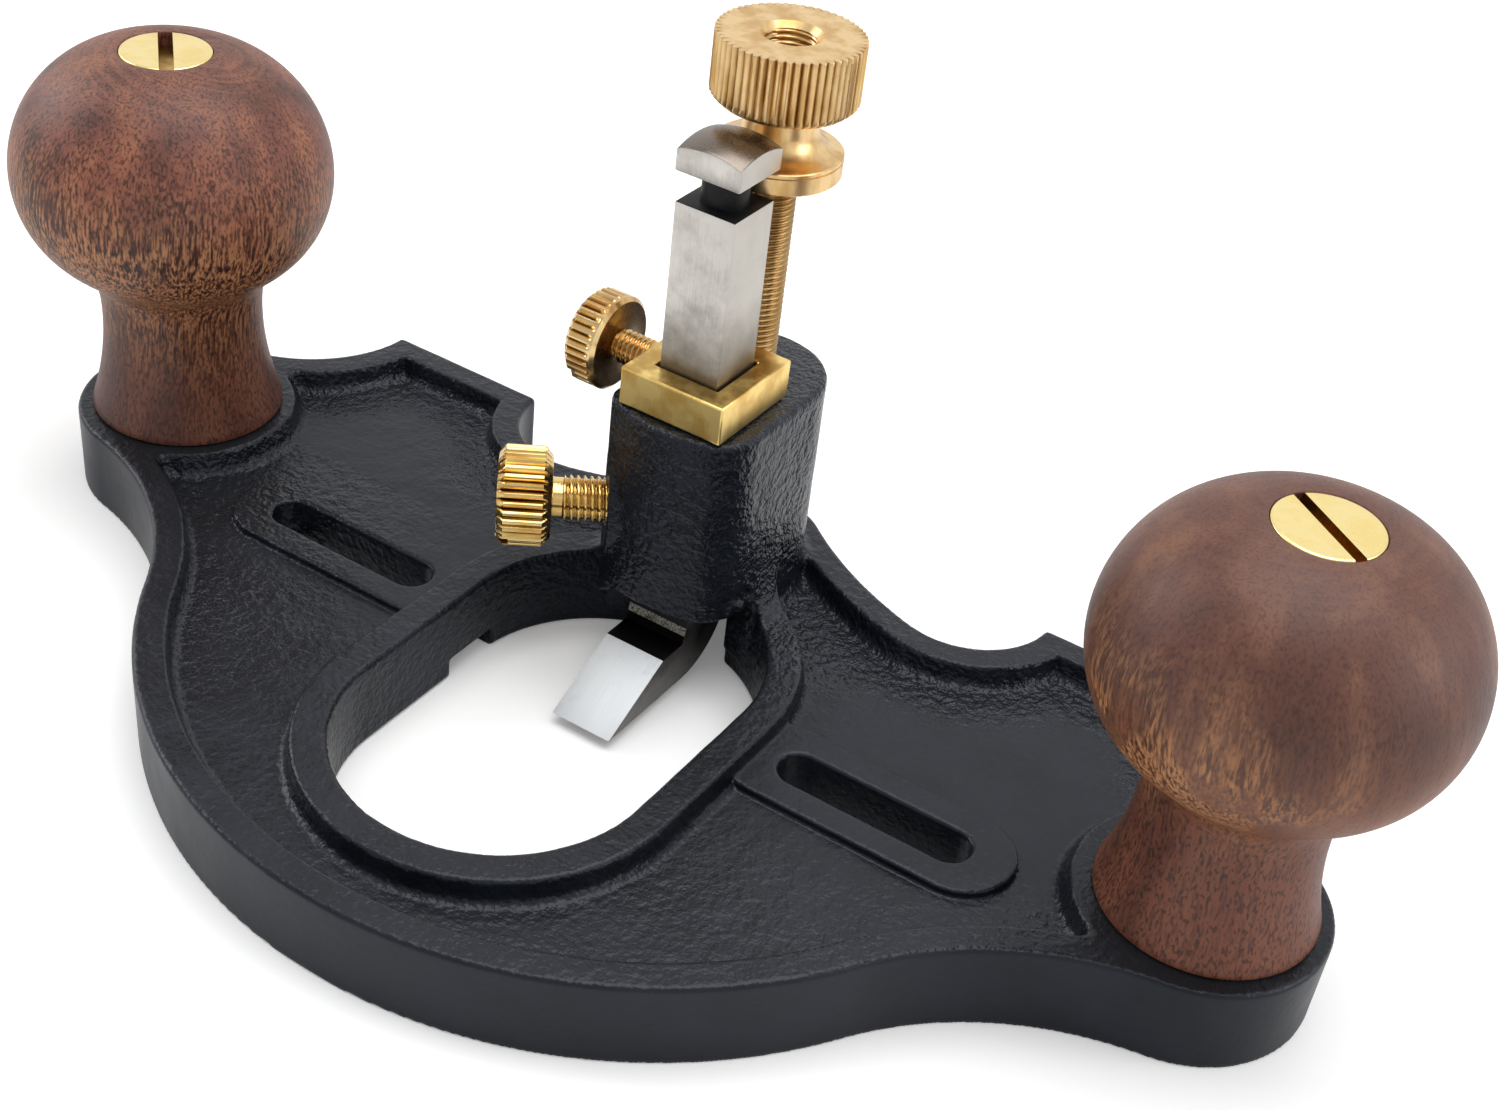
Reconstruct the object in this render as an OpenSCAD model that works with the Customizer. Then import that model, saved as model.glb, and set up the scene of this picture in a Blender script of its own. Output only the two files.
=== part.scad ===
// Hand router plane: a cast base with two turned knobs, and a square-shanked
// cutter that slides in a post and is fed up and down by a brass nut on a rod.
// Millimetres, +Z up, sole on Z = 0, origin under the middle of the outline.
// X runs from the left knob to the right knob, Y from the front to the back.

/* [Base casting] */
// Distance between the two knob axes
knob_spacing = 160; // [150:1:180]
// Height of the rim above the sole
base_h = 12; // [11:0.5:16]
// Radius of the front edge
front_r = 63.6; // [60:0.1:70]
// Centre of the front edge, in front of the knob line
front_line = 0.5; // [0:0.1:4]
// Radius of the round ear under each knob
ear_r = 16; // [14.5:0.1:18]
// Radius of the hollow between the front edge and an ear
front_hollow_r = 44; // [30:1:60]
// Straight back edge, measured behind the knob line
back_edge = 32.9; // [30:0.1:36]
// Inner end of each straight back edge, from the middle
back_edge_in = 42.7; // [41:0.1:46]
// Outer end of each straight back edge, from the middle
back_edge_out = 68.5; // [62:0.5:70]
// Radius of the hollow at the inner end of each back edge
back_hollow_r = 12.2; // [10:0.1:13]
// Width of the raised rim
rim_w = 4.1; // [3:0.1:5]
// Depth of the hollows inside the rim
recess_d = 3.2; // [2:0.1:4]
// Radius of the flat boss round each knob
boss_r = 16.5; // [15.5:0.1:18]

/* [Throat] */
// Width of the throat opening
throat_w = 40.5; // [36:0.5:42]
// Front end of the throat, in front of the knob line
throat_front = 50; // [46:0.5:53]
// Back end of the throat, behind the knob line
throat_back = 13.2; // [10:0.2:14]
// Width of the raised ridge round the throat
ridge_w = 4.5; // [3:0.1:5.5]
// Width of the notch behind the throat that clears the cutter
notch_w = 12.2; // [11:0.1:14]
// Depth of the notch behind the cutter shank
notch_room = 8.8; // [4:0.2:10]

/* [Fence slots] */
// Inner end of each fence slot, from the middle
slot_in = 27.9; // [27:0.1:32]
// Outer end of each fence slot, from the middle
slot_out = 54.2; // [46:0.1:56]
// Width of each fence slot
slot_w = 5.6; // [4.5:0.1:6.5]
// Line of the slots, in front of the knob line
slot_line = 9.4; // [6:0.1:14]
// Flat margin round each slot
slot_margin = 4.3; // [3:0.1:5]
// Drop of that flat below the rim
slot_flat_d = 2.2; // [1:0.1:3]
// Width of the groove in the sole below each slot
groove_w = 8.6; // [7:0.1:10]
// Depth of that groove
groove_d = 3; // [2:0.1:5]

/* [Post] */
// Top of the post above the sole
post_top = 40.8; // [36:0.2:46]
// Underside of the post where it hangs over the throat
post_under = 13.5; // [13:0.1:16]
// Width of the post
post_w = 20; // [19.2:0.1:21]
// Front face of the post, behind the knob line
post_front = 0.3; // [-1:0.1:1]
// Radius of the bowed front face
post_face_r = 18; // [15:0.5:24]
// Radius of the two front corners
post_corner_r = 2.4; // [1:0.1:3]
// Shank axis behind the knob line
shank_line = 9.9; // [9:0.1:11]
// Distance from the shank axis back to the rod axis
rod_gap = 11.2; // [11:0.1:13]

/* [Cutter] */
// Side of the square shank
shank_w = 8.5; // [7.5:0.1:9]
// Shoulder of the shank above the sole
shank_top = 68.4; // [66:0.2:76]
// Height of the groove under the cap
groove_h = 3.9; // [3.5:0.1:5]
// Radius of the round neck in the groove
neck_r = 2.9; // [2.5:0.1:3.3]
// Extra width of the cap on the shank
cap_extra = 0.5; // [0:0.1:0.8]
// Height of the cap to the top of its dome
cap_h = 4.3; // [3:0.1:4.6]
// Radius of the dome on the cap
dome_r = 13.5; // [11:0.5:30]
// Extra width of the foot on the shank
foot_extra = 0.6; // [0:0.1:1.4]
// Reach of the cutting edge in front of the shank axis
foot_reach = 22.3; // [18:0.1:26]
// Length of the flat on top of the foot
foot_flat = 4.5; // [3:0.1:6]
// Top of the foot above the sole
foot_top = 7.8; // [6:0.1:8.6]
// Cutting edge above the sole
edge_z = 1.6; // [0.5:0.1:3]

/* [Depth nut and rod] */
// Outside diameter of the rod's thread
rod_d = 6; // [5:0.1:6.4]
// Top of the rod above the sole
rod_top = 80; // [76:0.5:84]
// Diameter of the knurled head
nut_d = 18.1; // [16:0.1:20]
// Height of the knurled head
nut_head_h = 8.2; // [6:0.1:10]
// Space between the flange and the knurled head
nut_neck_h = 5.9; // [5.6:0.1:8]
// Thickness of the flange that sits in the shank's groove
flange_h = 2.9; // [2:0.1:3.1]
// Diameter of the neck between flange and head
nut_neck_d = 9.2; // [8.8:0.1:11]

/* [Depth stop] */
// Width of the collar across the shank
collar_w = 15; // [14:0.1:16]
// Height of the collar
collar_h = 5.2; // [5:0.1:8]
// Wall of the collar in front of and behind the shank
collar_wall = 3.6; // [3:0.1:3.65]
// Outside diameter of the stop screw's thread
stop_screw_d = 4.2; // [3:0.1:4.4]

/* [Thumbscrews] */
// Diameter of the knurled heads
thumb_d = 13; // [10:0.1:14]
// Length of the lock screw's head
lock_head_l = 7; // [5:0.1:9]
// Length of the stop screw's head
stop_head_l = 4.8; // [4:0.1:8]
// Bare length between a head and the wall its thread enters
thumb_out = 5.5; // [4:0.1:8]
// Outside diameter of the lock screw's thread
lock_screw_d = 6; // [4:0.1:6.4]
// Height of the lock screw above the sole
lock_z = 24.75; // [22:0.25:32]
// Turn of the lock screw from the knob line
lock_turn = 35; // [25:1:45]

/* [Knobs] */
// Largest diameter of the knob's ball
knob_d = 42.4; // [38:0.2:46]
// Top of the knob above the sole
knob_top = 64.7; // [60:0.1:70]
// Radius of the ball's side above its widest line
knob_side_r = 17; // [15:0.1:17.5]
// Radius of the ball's side below its widest line
knob_under_r = 15.7; // [14.5:0.1:17.5]
// Diameter of the knob's foot
knob_foot_d = 26.5; // [25:0.1:29]
// Diameter of the knob's waist
knob_waist_d = 21.8; // [20:0.1:24]
// Height of the waist above the base's top
knob_waist_h = 15; // [14:0.1:16.5]
// Diameter of the slotted knob nut
knob_nut_d = 12; // [10:0.1:14]
// Height of the knob nut's head
knob_nut_head = 4; // [3.5:0.1:5]
// Height of the whole knob nut
knob_nut_h = 22; // [18:0.5:26]
// Width of the slot in the knob nut
knob_slot_w = 1.9; // [1.4:0.1:2.2]
// Depth of the slot in the knob nut
knob_slot_h = 2; // [1.4:0.1:2.6]
// Diameter of the stud inside the knob
stud_d = 6; // [5:0.1:6.4]
// How far the stud ends below the top of the knob
stud_drop = 10; // [8:0.1:12]

/* [Fits] */
// Play round a sliding or turning fit, per side
fit = 0.06; // [0.03:0.01:0.09]
// Air between pieces that may touch in use
air = 0.25; // [0.15:0.05:0.3]

/* [Hidden] */
$fn = 64;
over = 1;
lap = 0.03;
knob_x = knob_spacing / 2;
rod_line = shank_line + rod_gap;
post_r = post_w / 2;
post_back_line = rod_line - 0.2;
face_c = [0, post_front + post_face_r];
corner_c = [post_r - post_corner_r,
            face_c[1] - sqrt(pow(post_face_r - post_corner_r, 2) - pow(post_r - post_corner_r, 2))];
corner_v = (corner_c - face_c) / norm(corner_c - face_c);
nose_r = post_r + 0.5;
nose_line = post_back_line + 3.1;
shift_y = (front_r + front_line - nose_line - nose_r) / 2;
notch_end = shank_line + shank_w / 2 + notch_room;
recess_z = base_h - recess_d;
slot_flat_z = base_h - slot_flat_d;
collar_z = post_top + air;
collar_d = shank_w + 2 * collar_wall;
flange_z = shank_top + 0.3;
flange_r = rod_gap - neck_r - air;
nut_head_z = flange_z + flange_h + nut_neck_h;
nut_top = nut_head_z + nut_head_h;
cap_z = shank_top + groove_h;
foot_step = post_under - 2;
rod_foot = lock_z - 1;
rod_r = rod_d / 2;
stud_r = stud_d / 2;
stud_foot = 3;
knob_nut_z = knob_top - knob_nut_head;
barrel_z = knob_top - knob_nut_h;
barrel_r = knob_nut_d / 2 - 1.5;
stud_top = knob_top - stud_drop;
lock_tip = (cos(lock_turn) + sin(lock_turn)) * shank_w / 2 + air;
lock_out = post_r / cos(lock_turn);
lock_head = lock_out + thumb_out + 0.4;

// The point at distance a from p and b from q, on the front side of the line.
function meet(p, a, q, b) =
    let (d = norm(q - p), u = (q - p) / d, t = (a * a - b * b + d * d) / (2 * d),
         h = sqrt(max(0, a * a - t * t)))
    p + u * t + [u[1], -u[0]] * h;

ear_c = [knob_x - 0.9, 0];
mid_c = [0, -front_line];
front_c = meet(mid_c, front_r + front_hollow_r, ear_c, ear_r + front_hollow_r);
side_k = back_edge_out - ear_r;
side_x = (pow(ear_c[0], 2) + pow(back_edge, 2) - side_k * side_k) / (2 * (ear_c[0] - side_k));
side_r = side_x - back_edge_out;
nose_c = [0, nose_line];
hollow_c = [back_edge_in - back_hollow_r, back_edge + 0.9];
hollow_v = hollow_c - nose_c;
hollow_a = atan2(hollow_v[1], hollow_v[0]) + acos((nose_r + back_hollow_r) / norm(hollow_v));
hollow_n = [cos(hollow_a), sin(hollow_a)];

// One half of the base outline, drawn in by "in" all round. The hollows lap the
// rounds they run into by a hair, so that each arc ends on a clean crossing.
module outline_half(in) {
    difference() {
        polygon([mid_c, front_c, ear_c, [side_x, back_edge - in],
                 [hollow_c[0], back_edge - in], hollow_c - hollow_n * (back_hollow_r + in),
                 nose_c + hollow_n * (nose_r - in - lap), nose_c]);
        translate(front_c) circle(r = front_hollow_r + in + lap);
        translate([side_x, back_edge]) circle(r = side_r + in + lap);
        translate(hollow_c) circle(r = back_hollow_r + in + lap);
    }
    translate(ear_c) circle(r = ear_r - in);
}

// The base outline, drawn in by "in" all round.
module outline(in) {
    outline_half(in);
    mirror([1, 0]) outline_half(in);
    intersection() {
        translate(mid_c) circle(r = front_r - in);
        translate([-front_r, -2 * front_r]) square([2 * front_r, 2 * front_r]);
    }
    translate(nose_c) circle(r = nose_r - in);
}

// The throat opening, let out by "grow" all round.
module throat(grow) {
    r = throat_w / 2 + grow;
    front_y = throat_w / 2 - throat_front;
    back_y = throat_back - throat_w / 2;
    translate([0, front_y]) circle(r = r);
    translate([0, back_y]) circle(r = r);
    translate([-r, front_y]) square([2 * r, back_y - front_y]);
}

// A slot along X from x0 to x1 over its round ends.
module slot(x0, x1, w) {
    translate([x0 + w / 2, 0]) circle(d = w);
    translate([x1 - w / 2, 0]) circle(d = w);
    translate([x0 + w / 2, -w / 2]) square([x1 - x0 - w, w]);
}

// Plan of the post: bowed front face, rounded front corners, straight sides, round back.
module post_plan() {
    far = 1.4 * post_face_r;
    intersection() {
        translate(face_c) circle(r = post_face_r);
        polygon([face_c, face_c + [-corner_v[0], corner_v[1]] * far, face_c + corner_v * far]);
    }
    for (s = [-1, 1]) translate([s * corner_c[0], corner_c[1]]) circle(r = post_corner_r + lap);
    translate([-post_r, corner_c[1]]) square([post_w, post_back_line - corner_c[1]]);
    translate([0, post_back_line]) circle(r = post_r + lap);
}

// The notch that lets the cutter's heel stand behind the throat.
module notch_plan() {
    r = notch_w / 2;
    translate([0, notch_end - r]) circle(r = r);
    translate([-r, throat_back - throat_w / 2]) square([notch_w, notch_end - r - throat_back + throat_w / 2]);
}

// Everything inside the rim that is hollowed out.
module recess_plan() {
    difference() {
        outline(rim_w);
        translate([knob_x, 0]) circle(r = boss_r);
        translate([-knob_x, 0]) circle(r = boss_r);
        throat(ridge_w);
        post_plan();
        translate(nose_c) circle(r = nose_r - rim_w + 0.3);
    }
}

// The flat round one fence slot.
module slot_flat_plan() {
    translate([0, -slot_line]) slot(throat_w / 2, slot_out + slot_margin, slot_w + 2 * slot_margin);
}

// Lays a shape drawn along +X on the lock screw's axis, with its zero on the shank axis.
module on_lock_axis() {
    translate([0, shank_line, lock_z]) rotate([0, 0, 180 + lock_turn]) children();
}

// A round bar along +X.
module bar_x(x0, x1, r) {
    translate([x0, 0, 0]) rotate([0, 90, 0]) cylinder(h = x1 - x0, r = r);
}

// A thumbscrew along +X: tip at x0, inner face of the head at x1, head l long.
module thumbscrew(x0, x1, l, r) {
    t = thumb_d / 2;
    difference() {
        union() {
            bar_x(x0, x1 + over, r);
            translate([x1, 0, 0]) rotate([0, 90, 0]) rotate_extrude()
                polygon([[0, 0], [t - 1.1, 0], [t, 1.1], [t, l - 1.1], [t - 1.1, l], [0, l]]);
        }
        translate([x1 + l - 1.8, -t - over, -0.8]) cube([1.8 + over, 2 * (t + over), 1.6]);
    }
}

module base_casting() {
    color("#2b2d33") translate([0, shift_y, 0]) difference() {
        union() {
            difference() {
                linear_extrude(base_h) outline(0);
                translate([0, 0, slot_flat_z]) linear_extrude(base_h) recess_plan();
                translate([0, 0, recess_z]) linear_extrude(base_h) difference() {
                    recess_plan();
                    slot_flat_plan();
                    mirror([1, 0]) slot_flat_plan();
                }
            }
            linear_extrude(post_top) post_plan();
        }
        translate([0, 0, -over]) linear_extrude(post_under + over) {
            throat(0);
            notch_plan();
        }
        for (s = [0, 1]) mirror([s, 0, 0]) {
            translate([0, -slot_line, -over]) linear_extrude(base_h) slot(slot_in, slot_out, slot_w);
            translate([0, -slot_line, -over]) linear_extrude(groove_d + over)
                slot(throat_w / 2 - groove_w, slot_out + (groove_w - slot_w) / 2, groove_w);
            translate([knob_x, 0, stud_foot - 0.5]) cylinder(h = base_h, r = stud_r + fit / 2);
        }
        translate([-shank_w / 2 - fit, shank_line - shank_w / 2 - fit, 0])
            cube([shank_w + 2 * fit, shank_w + 2 * fit, post_top + over]);
        translate([0, rod_line, rod_foot - 0.5]) cylinder(h = post_top, r = rod_r + fit / 2);
        on_lock_axis() bar_x(0, lock_out + over, lock_screw_d / 2 + fit);
    }
}

module knob(x) {
    side_x = knob_d / 2 - knob_side_r;
    mid_z = knob_top + 0.3 - knob_side_r;
    foot_z = base_h + 0.8;
    waist_z = base_h + knob_waist_h;
    hollow = (pow(waist_z - foot_z, 2) / (knob_foot_d - knob_waist_d) * 2
              + (knob_foot_d - knob_waist_d) / 2) / 2;
    color("#6e3a22") translate([x, shift_y, 0]) rotate_extrude() difference() {
        union() {
            intersection() {
                union() {
                    translate([side_x, mid_z]) circle(r = knob_side_r);
                    translate([0, mid_z]) square([side_x, knob_side_r]);
                }
                translate([0, mid_z]) square([knob_d, knob_d]);
            }
            intersection() {
                union() {
                    translate([knob_d / 2 - knob_under_r, mid_z]) circle(r = knob_under_r);
                    translate([0, mid_z - knob_under_r]) square([knob_d / 2 - knob_under_r, knob_under_r]);
                }
                translate([0, mid_z - knob_d]) square([knob_d, knob_d]);
            }
            difference() {
                translate([0, base_h]) square([knob_foot_d / 2, mid_z - base_h]);
                translate([knob_waist_d / 2 + hollow, waist_z]) circle(r = hollow, $fn = 200);
            }
        }
        translate([-knob_d, 0]) square([knob_d, 2 * knob_top]);
        translate([0, knob_top]) square([knob_d, knob_d]);
        square([stud_r + 0.3, knob_top + over]);
        translate([0, barrel_z - 0.3]) square([barrel_r + fit, knob_top]);
        translate([0, knob_nut_z]) square([knob_nut_d / 2 + fit, knob_top]);
    }
}

module left_knob() { knob(-knob_x); }
module right_knob() { knob(knob_x); }

module knob_stud(x) {
    color("#9b9b98") translate([x, shift_y, stud_foot]) cylinder(h = stud_top - stud_foot, r = stud_r);
}

module left_knob_stud() { knob_stud(-knob_x); }
module right_knob_stud() { knob_stud(knob_x); }

module knob_nut(x) {
    color("#c9a24a") translate([x, shift_y, 0]) difference() {
        union() {
            translate([0, 0, knob_nut_z]) cylinder(h = knob_top - knob_nut_z, d = knob_nut_d);
            translate([0, 0, barrel_z]) cylinder(h = knob_top - barrel_z - 1, r = barrel_r);
        }
        translate([0, 0, barrel_z - over])
            cylinder(h = stud_top + 0.5 - barrel_z + over, r = stud_r + fit / 2);
        translate([0, 0, knob_top]) rotate([0, 0, 136])
            cube([knob_nut_d + 2, knob_slot_w, 2 * knob_slot_h], center = true);
    }
}

module left_knob_nut() { knob_nut(-knob_x); }
module right_knob_nut() { knob_nut(knob_x); }

module adjuster_rod() {
    color("#b98a3c") translate([0, shift_y + rod_line, rod_foot]) cylinder(h = rod_top - rod_foot, r = rod_r);
}

module depth_nut() {
    b = rod_r + fit;
    h = nut_d / 2;
    n = nut_neck_d / 2;
    c = flange_r - n;
    f = flange_z + flange_h;
    color("#b98a3c") translate([0, shift_y + rod_line, 0]) rotate_extrude() difference() {
        union() {
            translate([0, flange_z]) square([flange_r, flange_h]);
            translate([0, f]) square([n, nut_neck_h]);
            difference() {
                translate([0, f - 0.4]) square([n + c, c + 0.4]);
                translate([n + c, f + c]) circle(r = c);
            }
            polygon([[0, nut_head_z], [h - 0.8, nut_head_z], [h, nut_head_z + 0.8], [h, nut_top - 0.5],
                     [h - 0.5, nut_top], [0, nut_top]]);
        }
        translate([0, flange_z - over]) square([b, nut_top - flange_z + 2 * over]);
        polygon([[0, nut_top + over], [0, nut_top - 0.7], [b, nut_top - 0.7],
                 [b + 0.7, nut_top], [b + 0.7, nut_top + over]]);
    }
}

module blade() {
    foot_w = shank_w + foot_extra;
    back = shank_w / 2;
    heel_r = foot_step - edge_z;
    cap_w = shank_w + cap_extra;
    color("#a9a9a6") translate([0, shift_y + shank_line, 0]) {
        translate([-foot_w / 2, 0, 0]) rotate([90, 0, 90]) linear_extrude(foot_w) {
            polygon([[-foot_reach, edge_z], [back - heel_r, edge_z], [back - heel_r, foot_step],
                     [-back, foot_step], [-back - 2, foot_top], [-back - 2 - foot_flat, foot_top]]);
            polygon([[-back, foot_step], [-back - 2, foot_top],
                     [back - heel_r, edge_z], [back - heel_r, foot_step]]);
            intersection() {
                translate([back - heel_r, foot_step]) circle(r = heel_r);
                translate([back - heel_r - 0.1, edge_z]) square([heel_r + 0.1, heel_r]);
            }
        }
        translate([-back, -back, foot_step - 0.1]) cube([shank_w, shank_w, shank_top - foot_step + 0.1]);
        translate([0, 0, shank_top - over]) cylinder(h = groove_h + 2 * over, r = neck_r);
        intersection() {
            translate([-cap_w / 2, -cap_w / 2, cap_z]) cube([cap_w, cap_w, cap_h + over]);
            translate([0, 0, cap_z + cap_h - dome_r]) sphere(r = dome_r);
        }
    }
}

module depth_stop_collar() {
    hole = shank_w + 2 * fit;
    color("#c9a24a") translate([0, shift_y + shank_line, collar_z]) difference() {
        translate([-collar_w / 2, -collar_d / 2, 0]) cube([collar_w, collar_d, collar_h]);
        translate([-hole / 2, -hole / 2, -over]) cube([hole, hole, collar_h + 2 * over]);
        translate([0, 0, collar_h / 2]) bar_x(-collar_w, 0, stop_screw_d / 2 + fit);
    }
}

module depth_stop_screw() {
    color("#b98a3c") translate([0, shift_y + shank_line, collar_z + collar_h / 2]) rotate([0, 0, 180])
        thumbscrew(shank_w / 2 + air, collar_w / 2 + thumb_out, stop_head_l, stop_screw_d / 2);
}

module blade_lock_screw() {
    color("#b98a3c") translate([0, shift_y, 0]) on_lock_axis()
        thumbscrew(lock_tip, lock_head, lock_head_l, lock_screw_d / 2);
}

base_casting();
left_knob();
right_knob();
left_knob_stud();
right_knob_stud();
left_knob_nut();
right_knob_nut();
adjuster_rod();
depth_nut();
blade();
depth_stop_collar();
depth_stop_screw();
blade_lock_screw();
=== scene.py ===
"""Studio picture of a hand router plane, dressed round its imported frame.

Sizes in the classes are millimetres. Plan positions are measured from the line
through the two knob axes, and KNOB_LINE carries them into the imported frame.
"""

from __future__ import annotations

import logging
import math
from collections.abc import Sequence
from dataclasses import dataclass, field
from enum import Enum
from itertools import product

import bpy
import numpy as np
from mathutils import Euler, Matrix, Vector


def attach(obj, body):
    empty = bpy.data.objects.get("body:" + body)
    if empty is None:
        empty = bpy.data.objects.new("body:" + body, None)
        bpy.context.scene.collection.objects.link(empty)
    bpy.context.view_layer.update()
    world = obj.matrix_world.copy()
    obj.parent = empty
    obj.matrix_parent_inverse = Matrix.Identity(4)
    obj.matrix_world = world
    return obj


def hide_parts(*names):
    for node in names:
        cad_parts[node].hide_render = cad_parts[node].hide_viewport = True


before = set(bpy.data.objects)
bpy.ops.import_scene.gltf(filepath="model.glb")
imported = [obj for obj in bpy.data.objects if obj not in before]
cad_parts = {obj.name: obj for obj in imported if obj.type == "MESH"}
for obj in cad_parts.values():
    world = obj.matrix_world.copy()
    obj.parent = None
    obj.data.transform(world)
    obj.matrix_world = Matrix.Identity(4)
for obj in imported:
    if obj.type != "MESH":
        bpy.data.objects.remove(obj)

LOG = logging.getLogger("router_plane")
MM = 0.001
TINY = 1e-9
KNOB_LINE = 14.8
KNOB_X = 80.0
SHANK_LINE = 9.9
ROD_LINE = 21.1
LOCK_Z = 24.75
LOCK_TURN = 35.0
SQUARE = ((-1, -1), (1, -1), (1, 1), (-1, 1))
Pair = tuple[float, float]
Triple = tuple[float, float, float]
Array = np.ndarray
Piece = bpy.types.Object
Material = bpy.types.Material
Tree = bpy.types.NodeTree
Node = bpy.types.Node
Socket = bpy.types.NodeSocket
UP: Triple = (0.0, 0.0, 1.0)
WHITE = (1.0, 1.0, 1.0, 1.0)

COORDS = "ShaderNodeTexCoord"
MAPPING = "ShaderNodeMapping"
SPLIT = "ShaderNodeSeparateXYZ"
NOISE = "ShaderNodeTexNoise"
MATH = "ShaderNodeMath"
VECTOR = "ShaderNodeVectorMath"
RANGE = "ShaderNodeMapRange"
RAMP = "ShaderNodeValToRGB"
MIX = "ShaderNodeMix"


class Side(Enum):
    """The two knobs, by the sign of their X."""

    LEFT = -1
    RIGHT = 1


class Slot(Enum):
    """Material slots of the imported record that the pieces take."""

    CASTING = "casting"
    KNOB_WOOD = "knob_wood"
    BRASS = "brass"
    TOOL_STEEL = "tool_steel"


class Joining(Enum):
    """Ways to combine two pieces, by Blender's names."""

    CUT = "DIFFERENCE"
    WELD = "UNION"


class Patch(Enum):
    """Finishes of the cutter, by the number of their material slot."""

    SHANK = 0
    SHOULDER = 1
    BEVEL = 2
    STEP = 3
    SIDES = 4
    CROWN = 5
    FLAT = 6


def linear(colour: str) -> tuple[float, float, float, float]:
    """Turn an sRGB hex colour into linear values.

    Args:
        colour: Hex colour such as "#2b2d33".

    Returns:
        Linear red, green, blue and an alpha of one.
    """
    shares = [int(colour[i : i + 2], 16) / 255 for i in (1, 3, 5)]
    toned = [c / 12.92 if c <= 0.04045 else ((c + 0.055) / 1.055) ** 2.4 for c in shares]
    return (toned[0], toned[1], toned[2], 1.0)


def add_node(
    tree: Tree,
    kind: str,
    inputs: dict[str | int, object] | None = None,
    stops: Sequence[tuple[float, str]] = (),
    **settings: object,
) -> Node:
    """Add one node with its settings, values and links.

    Args:
        tree: Shader or geometry tree that gets the node.
        kind: Blender's name for the node type.
        inputs: Socket name or number, and the value or the output that feeds it.
        stops: Positions and hex colours of a colour ramp.
        **settings: Properties of the node itself.

    Returns:
        The new node.
    """
    node = tree.nodes.new(kind)
    for name, value in settings.items():
        setattr(node, name, value)
    if stops:
        ramp = node.color_ramp.elements
        while len(ramp) < len(stops):
            ramp.new(0.5)
        for element, (position, colour) in zip(ramp, stops):
            element.position = position
            element.color = linear(colour)
    for key, value in (inputs or {}).items():
        if isinstance(value, Socket):
            tree.links.new(value, node.inputs[key])
        else:
            node.inputs[key].default_value = value
    return node


def per_mm(size: float) -> float:
    """Return the texture scale of a pattern of a size in millimetres."""
    return 1 / (size * MM)


def start_material(name: str, **sockets: object) -> tuple[Material, Tree, Node, Socket]:
    """Start a material with one Principled shader and the object's own coordinates.

    Args:
        name: Name of the material.
        **sockets: Constants for the shader, with underscores for spaces.

    Returns:
        The material, its tree, its shader and the coordinates.
    """
    material = bpy.data.materials.new(name)
    material.use_nodes = True
    tree = material.node_tree
    tree.nodes.clear()
    values = {key.replace("_", " "): value for key, value in sockets.items()}
    shader = add_node(tree, "ShaderNodeBsdfPrincipled", values)
    add_node(tree, "ShaderNodeOutputMaterial", {"Surface": shader.outputs[0]})
    return material, tree, shader, add_node(tree, COORDS).outputs["Object"]


def wire(shader: Node, colour: Socket, gloss: Node, height: Socket, relief_mm: float,
         strength: float | Socket) -> None:
    """Link a finish's colour, roughness and relief to its shader.

    Args:
        shader: The material's shader.
        colour: Output that gives the colour.
        gloss: Node that gives the roughness.
        height: Output that gives the relief.
        relief_mm: Full height of the relief in millimetres.
        strength: Share of the relief that shows.
    """
    tree = shader.id_data
    bump = add_node(tree, "ShaderNodeBump", {"Strength": strength, "Distance": relief_mm * MM,
                    "Height": height})
    sources = {"Base Color": colour, "Roughness": gloss.outputs[0], "Normal": bump.outputs[0]}
    for name, source in sources.items():
        tree.links.new(source, shader.inputs[name])


def turned_to(tree: Tree, way: Triple, most: float) -> Socket:
    """Return a share that grows where a surface faces one way.

    Args:
        tree: Shader tree that gets the nodes.
        way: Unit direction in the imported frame.
        most: Share on a surface that faces it fully.

    Returns:
        The share.
    """
    facing = add_node(tree, "ShaderNodeNewGeometry").outputs["Normal"]
    dot = add_node(tree, VECTOR, {0: facing, 1: way}, operation="DOT_PRODUCT").outputs["Value"]
    return add_node(tree, RANGE, {0: dot, 1: 0.5, 2: 0.95, 3: 0.0, 4: most}).outputs[0]


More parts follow.
